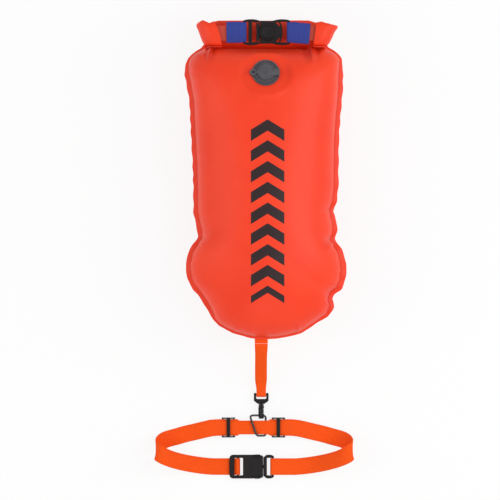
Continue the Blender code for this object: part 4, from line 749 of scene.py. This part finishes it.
def smooth_line(corners, step, soft=0):
    """Evenly spaced points along a line through corners, rounded where asked."""
    corners = np.array(corners, float)
    size = running_length(corners)
    line = points_at(np.linspace(0, size[-1], max(int(size[-1] / step), 2) + 1), size, corners)
    for _ in range(soft):
        line[1:-1] = (line[:-2] + 2 * line[1:-1] + line[2:]) / 4
    return line


def one_stitch(pitch, material):
    """A stitch along X: a short thread that dips into the cloth at both ends."""
    pick_none()
    bpy.ops.mesh.primitive_uv_sphere_add(segments=8, ring_count=6, radius=1)
    bead = bpy.context.object
    bead.data.materials.append(material)
    for vertex in bead.data.vertices:
        x, y, z = vertex.co
        vertex.co = (z * pitch * 0.46, y * 0.33 * MM, (x * 0.30 - z * z * 0.25) * MM)
    return finish_edit(bead)


def stitches(name, seams, up, material, pitch=2.6 * MM):
    """Rows of sewn thread between pairs of points, on cloth that faces up."""
    bead = one_stitch(pitch, material)
    up = Vector(up).normalized()
    rows = []
    for start, end in seams:
        start, end = Vector(start), Vector(end)
        run = (end - start).normalized()
        pick(bead)
        bpy.ops.object.duplicate()
        row = bpy.context.object
        copies = row.modifiers.new("Row", "ARRAY")
        copies.use_relative_offset = False
        copies.use_constant_offset = True
        copies.constant_offset_displace = (pitch, 0, 0)
        copies.count = max(int((end - start).length / pitch), 1)
        apply_modifier(row, copies)
        turn = Matrix((run, up.cross(run), up)).transposed().to_4x4()
        row.matrix_world = Matrix.Translation(start + run * pitch / 2) @ turn
        bpy.ops.object.transform_apply()
        rows.append(row)
    bpy.data.objects.remove(bead, do_unlink=True)
    for row in rows:
        row.select_set(True)
    bpy.context.view_layer.objects.active = rows[0]
    bpy.ops.object.join()
    piece = bpy.context.object
    piece.name = piece.data.name = name
    return shade(piece)


def turn_round(bar, radius, side, level, plane_y):
    """Points of webbing that goes round a bar, from its top to its underside."""
    angles = np.linspace(math.pi / 2, -math.pi / 2, 15)
    return [(bar - side * radius * math.cos(a), plane_y, level + radius * math.sin(a)) for a in angles]


# Closure straps

TAB_WALL = 1.8 * MM
TAB_WIDE = 30 * MM
TAB_Z = STRIP_TOP + 0.3 * MM + TAB_WALL / 2
CLOSURE_X, CLOSURE_Y = 2.4 * MM, 236.0 * MM
CLOSURE_LOOP = 2.6 * MM
CLOSURE_Z = TAB_Z - CLOSURE_LOOP
CLOSURE_BAR = 33.575 * MM
# Reach of the outer end, its Y and half its width on each side; both straps lie a little askew
TABS = [(-1, "left", 57.6 * MM, 235.7 * MM, 15.7 * MM), (1, "right", 66.8 * MM, 233.3 * MM, 15.5 * MM)]


def closure_tabs():
    """The two blue straps that hold the buckle, sewn down at their outer ends."""
    pieces = []
    seams = []
    for side, label, reach, skew, half in TABS:
        bar = CLOSURE_X + side * CLOSURE_BAR
        end = side * reach
        corners = [(end, skew, TAB_Z), ((end + bar) / 2, (skew + CLOSURE_Y) / 2, TAB_Z + 0.2 * MM)]
        corners += turn_round(bar, CLOSURE_LOOP, side, CLOSURE_Z, CLOSURE_Y)
        corners.append((bar + side * 12 * MM, CLOSURE_Y, CLOSURE_Z - CLOSURE_LOOP))
        line = smooth_line(corners, 0.8 * MM)
        near = ease((np.abs(line[:, 0] - bar) - 1 * MM) / (8 * MM))
        widths = TAB_WIDE + (2 * half - TAB_WIDE) * near
        tab = strap(f"closure_webbing_{label}", line, widths, TAB_WALL, (0, 1, 0), blue_web)
        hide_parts(f"closure_tab_{label}")
        pieces.append(tab)
        # A sewn box at the outer end
        top = TAB_Z + TAB_WALL / 2 + 0.05 * MM
        outer, inner = end - side * 2.5 * MM, end - side * 13 * MM
        low, high = skew - 12.8 * MM, skew + 12.8 * MM
        seams += [((x, low, top), (x, high, top)) for x in (outer, inner)]
        seams += [((inner, y, top), (outer, y, top)) for y in (low, high)]
    pieces.append(stitches("closure_stitches", seams, (0, 0, 1), blue_thread))
    return pieces


# Waist belt and tow strap, in the places of their solids

BELT_X, BELT_Y = -16.1 * MM, -388.8 * MM
BELT_BACK_DEPTH, BELT_FRONT_DEPTH = 31.5 * MM, 27.5 * MM
BELT_HALF_LENGTH = 147.5 * MM
BELT_FLAT_REACH = 60 * MM
BELT_WIDE = 25 * MM
BELT_DIP = 3.2 * MM
BEND_Z = 2 * MM
HUMP_HEIGHT, HUMP_END = 40 * MM, 0.92
# The most that sin ** 6 * cos ** 2 reaches
ARCH_PEAK = 0.75 ** 3 * 0.25
PINCH_X, PINCH_HALF, PINCH_BLEND, PINCH_WIDE = -16.8 * MM, 20.9 * MM, 4.5 * MM, 20.8 * MM
RING_RISE = math.sin(math.radians(20))
RING_BAR_Z = 20 * MM * RING_RISE + 4.6 * MM
BELT_BACK_Z = RING_BAR_Z - 1.6 * MM - 0.4 * MM - WEB_WALL / 2
BELT_BACK_Y = BELT_Y + BELT_BACK_DEPTH
BUCKLE_X, BUCKLE_Y, BUCKLE_Z = -20 * MM, BELT_Y - BELT_FRONT_DEPTH, 5.2 * MM
WEB_LOOP = 1.6 * MM + 0.4 * MM + WEB_WALL / 2
SOCKET_TAIL_Z = 1.15 * MM
SOCKET_ENTRY_Z = 2.95 * MM
HOOK = Vector((-5.6 * MM, BELT_BACK_Y + 18.2 * MM, RING_BAR_Z - 14.4 * MM * RING_RISE))
EYE_BAR_Y = HOOK.y + 31.4 * MM

TOW_WIDE, TOW_MIDDLE, TOW_END = 19.5 * MM, 17.9 * MM, 14.4 * MM
TOW_TOP_Z = SEAM_Z - 0.15 * MM - SKIN - 0.3 * MM - WEB_WALL / 2
TOW_START_Y = BOTTOM_Y - 6.6 * MM
TOW_LOOP = WEB_LOOP + 0.2 * MM
TOW_STEPS = 70


def tow_webbing():
    """The sewn root under the float and the strap down to the swivel eye."""
    x = HOOK.x
    corners = [(x, BOTTOM_Y + 4 * MM, TOW_TOP_Z), (x, TOW_START_Y + 0.25 * MM, TOW_TOP_Z)]
    line = smooth_line(corners, 0.8 * MM)
    root = strap("tow_webbing_root", line, TOW_WIDE, WEB_WALL, (1, 0, 0), orange_web)

    # Down to the eye, round its bar and back up a little way under itself
    share = np.linspace(0, 1, TOW_STEPS)
    drop = TOW_TOP_Z - HOOK.z - TOW_LOOP
    fall = np.column_stack([np.full(TOW_STEPS, x), TOW_START_Y + (EYE_BAR_Y - TOW_START_Y) * share,
                            TOW_TOP_Z - drop * ease(share ** 0.8)])
    angle = np.linspace(math.pi / 2, -math.pi / 2, 15)[1:]
    loop = np.column_stack([np.full(14, x), EYE_BAR_Y - TOW_LOOP * np.cos(angle),
                            HOOK.z + TOW_LOOP * np.sin(angle)])
    under = [(x, EYE_BAR_Y + 5 * MM, HOOK.z - TOW_LOOP + 0.15 * MM),
             (x, EYE_BAR_Y + 9.75 * MM, HOOK.z - TOW_LOOP + 0.3 * MM)]
    line = np.concatenate([fall, loop, under])
    widths = np.full(len(line), TOW_END)
    taper = TOW_WIDE - (TOW_WIDE - TOW_END) * ease(share * 3 - 2) - (TOW_WIDE - TOW_MIDDLE) * ease(share * 4)
    widths[:TOW_STEPS] = np.maximum(taper, TOW_END)
    sway = ease((TOW_START_Y - line[:, 1]) / (20 * MM)) * ease((line[:, 1] - EYE_BAR_Y) / (20 * MM))
    line[:, 0] += 0.4 * MM * np.sin((line[:, 1] - TOW_START_Y) / (27 * MM)) * sway
    body = strap("tow_webbing", line, widths, WEB_WALL, (1, 0, 0), orange_web)
    # The end under the float is pressed thin, so that it turns beside the root
    for vertex in body.data.vertices:
        if vertex.co.y > TOW_START_Y - 0.4 * MM:
            vertex.co.y = TOW_START_Y
            vertex.co.z = TOW_TOP_Z + (vertex.co.z - TOW_TOP_Z) * 0.4

    # Three rows of stitches across the strap close the loop round the bar
    seams = []
    for back in (5.5 * MM, 7.5 * MM, 9.5 * MM):
        y = EYE_BAR_Y + back
        z = float(np.interp(-y, -fall[:, 1], fall[:, 2])) + 0.85 * MM
        seams.append(((x - 6.2 * MM, y, z), (x + 6.2 * MM, y, z)))
    sewn = stitches("tow_stitches", seams, (0, math.sin(0.3), math.cos(0.3)), orange_thread, pitch=2.0 * MM)
    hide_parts("tow_root")
    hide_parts("tow_strap")
    return root, body, sewn


def belt_point(turn, side):
    """Centre line of the belt: turn 0 leaves the back run, pi reaches the front run."""
    on_back = turn < math.pi / 2
    reach = BELT_FLAT_REACH + (BELT_HALF_LENGTH - BELT_FLAT_REACH) * abs(math.sin(turn)) ** (4 / 3)
    depth = BELT_BACK_DEPTH if on_back else -BELT_FRONT_DEPTH
    if on_back:
        level = BELT_BACK_Z + (BEND_Z - BELT_BACK_Z) * float(ease((reach - 70 * MM) / (36 * MM)))
    else:
        front_z = BUCKLE_Z + WEB_LOOP if side > 0 else SOCKET_ENTRY_Z
        level = BEND_Z + (front_z - BEND_Z) * float(ease(turn * 2 / math.pi - 1))
    # Past the bend the belt rises in a hump and comes down before the buckle
    swing = min(turn / HUMP_END, math.pi) / 2
    arch = math.sin(swing) ** 6 * math.cos(swing) ** 2 / ARCH_PEAK
    y = BELT_Y + depth * abs(math.cos(turn)) ** (10 / 9)
    return (BELT_X + side * reach, y, level + HUMP_HEIGHT * arch)


def belt_half(side):
    """From the back run's middle to the buckle on one side, and round its bar."""
    points = [(BELT_X, BELT_BACK_Y, BELT_BACK_Z)]
    points += [belt_point(math.pi * i / 160, side) for i in range(161)]
    if side > 0:
        bar, level = BUCKLE_X + 31.3 * MM, BUCKLE_Z
    else:
        inner = BUCKLE_X - 26.3 * MM
        bar, level = inner + 5.6 * MM, SOCKET_TAIL_Z + WEB_LOOP
        rise = WEB_LOOP + level - SOCKET_ENTRY_Z
        points += [(inner + past, BUCKLE_Y, SOCKET_ENTRY_Z + rise * share)
                   for past, share in ((0, 0), (2.1 * MM, 3 / 8), (3.5 * MM, 3 / 4))]
    points += turn_round(bar, WEB_LOOP, side, level, BUCKLE_Y)
    points.append((bar + side * 12 * MM, BUCKLE_Y, level - WEB_LOOP))
    return points


def belt_slope(line):
    """How far the back run drops on its way from the sliders to the bends."""
    away = np.abs(line[:, 0] - BELT_X)
    before_bend = BELT_HALF_LENGTH - 4 * MM - away
    return BELT_DIP * ease((away - 50 * MM) / (46 * MM)) * ease(before_bend / (30 * MM))


def waist_belt():
    """The belt's loop, its two free ends and the stitches at the sliders."""
    left, right = belt_half(-1), belt_half(1)
    line = smooth_line(left[:0:-1] + right, 0.8 * MM, soft=2)
    on_back = line[:, 1] > BELT_Y
    line[:, 1] -= belt_slope(line) * on_back
    # The belt lies a little uneven
    sway = ease((np.abs(line[:, 0] - BELT_X) - 70 * MM) / (30 * MM))
    line[:, 2] += 0.4 * MM * np.sin(line[:, 0] / (21 * MM)) * sway
    # It is drawn in where it passes the ring
    plain = ease((np.abs(line[:, 0] - PINCH_X) - PINCH_HALF) / PINCH_BLEND)
    plain = np.where(on_back, plain, 1)
    widths = PINCH_WIDE + (BELT_WIDE - PINCH_WIDE) * plain
    loop = strap("belt_loop", line, widths, WEB_WALL, (0, 1, 0), orange_web)
    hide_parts("belt_webbing")
    pieces = [loop]
    level = BELT_BACK_Z - 1.8 * MM
    for label, inner, outer in (("left", -45 * MM, -85 * MM), ("right", 10.3 * MM, 43.8 * MM)):
        line = smooth_line([(inner, BELT_BACK_Y, level), (outer, BELT_BACK_Y, level)], 1.5 * MM)
        line[:, 1] -= belt_slope(line)
        end = strap(f"belt_end_{label}", line, BELT_WIDE, WEB_WALL, (0, 1, 0), orange_web)
        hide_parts(f"belt_tail_{label}")
        pieces.append(end)
    top = BELT_BACK_Z + 0.8 * MM
    low, high = BELT_BACK_Y - 11 * MM, BELT_BACK_Y + 11 * MM
    seams = [((x, low, top), (x, high, top)) for x in (36 * MM, 39 * MM)]
    pieces.append(stitches("belt_stitches", seams, (0, 0, 1), orange_thread, pitch=2.2 * MM))
    return pieces


# The object

skin = bore_valve_seat(float_skin())
# The skin's hollows and deep darts get painted shade from the stored mask
shade(mark_creases(skin, FOLDS), 70)
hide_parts("front_panel", "back_panel", "dry_liner")
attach(skin, "float")

mouth = roll_fabric()
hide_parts("rolled_mouth")
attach(mouth, "float")

for piece in closure_tabs():
    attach(piece, "float")

tow_root, tow_strap, tow_sewn = tow_webbing()
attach(tow_root, "float")
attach(tow_strap, "strap")
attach(tow_sewn, "strap")

for piece in waist_belt():
    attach(piece, "belt")

studded_vinyl = moulded_plastic("pvc_grey_with_stud", "#58575D", "#3E3D43", 0.45,
                                stud=tuple(valve_matrix() @ STUD_PLACE))
finishes = {
    "closure_socket": acetal, "closure_plug": acetal, "closure_button": acetal, "swivel_eye": acetal,
    "hook_body": acetal, "hook_gate": acetal, "slider_left": acetal, "slider_right": acetal,
    "buckle_socket": acetal, "buckle_plug": acetal, "prong_upper": acetal, "prong_lower": acetal,
    "belt_ring": coated_wire, "valve_flange": studded_vinyl, "valve_cap": vinyl, "cap_strap": vinyl,
    "valve_flap": flap_rubber, "mouth_strip": strip_film,
}
for node, finish in finishes.items():
    mesh = nodes[node].data
    mesh.materials.clear()
    mesh.materials.append(finish)


# Floor, light and camera

# Place, size and power in watts of each softbox
SOFTBOXES = {
    "left_softbox": ((-1.6, -0.1, 1.3), (0.7, 1.8), 8),
    "right_softbox": ((1.5, 0.1, 1.5), (0.7, 1.8), 17),
    "foot_softbox": ((0.1, -1.7, 1.4), (1.6, 0.6), 5),
}
LIGHT_AIM = Vector((0, 0, 0.05))
SKY_STRENGTH = 0.64


def studio():
    """White floor, even white sky and three softboxes, the strongest on the right."""
    pick_none()
    bpy.ops.mesh.primitive_plane_add(size=9, location=(0, 0, -0.6 * MM))
    floor = bpy.context.object
    floor.name = "floor"
    floor.data.materials.append(white_floor())

    world = bpy.data.worlds.new("soft_white_studio")
    bpy.context.scene.world = world
    world.use_nodes = True
    sky = world.node_tree.nodes["Background"]
    sky.inputs["Strength"].default_value = SKY_STRENGTH
    sky.inputs["Color"].default_value = tone("#FFFFFF")

    for name, (place, size, power) in SOFTBOXES.items():
        data = bpy.data.lights.new(name, "AREA")
        data.shape = "RECTANGLE"
        data.size, data.size_y = size
        data.energy = power
        light = bpy.data.objects.new(name, data)
        bpy.context.scene.collection.objects.link(light)
        light.location = place
        light.rotation_euler = (LIGHT_AIM - Vector(place)).to_track_quat("-Z", "Y").to_euler()


def camera():
    """Straight above the float, far off with a long lens."""
    data = bpy.data.cameras.new("camera")
    data.lens = 672
    data.sensor_width = 36
    data.clip_end = 40
    eye = bpy.data.objects.new("camera", data)
    bpy.context.scene.collection.objects.link(eye)
    eye.location = (-22.5 * MM, -90 * MM, 14.066)
    bpy.context.scene.camera = eye


studio()
camera()
bpy.context.scene.view_settings.view_transform = "Standard"
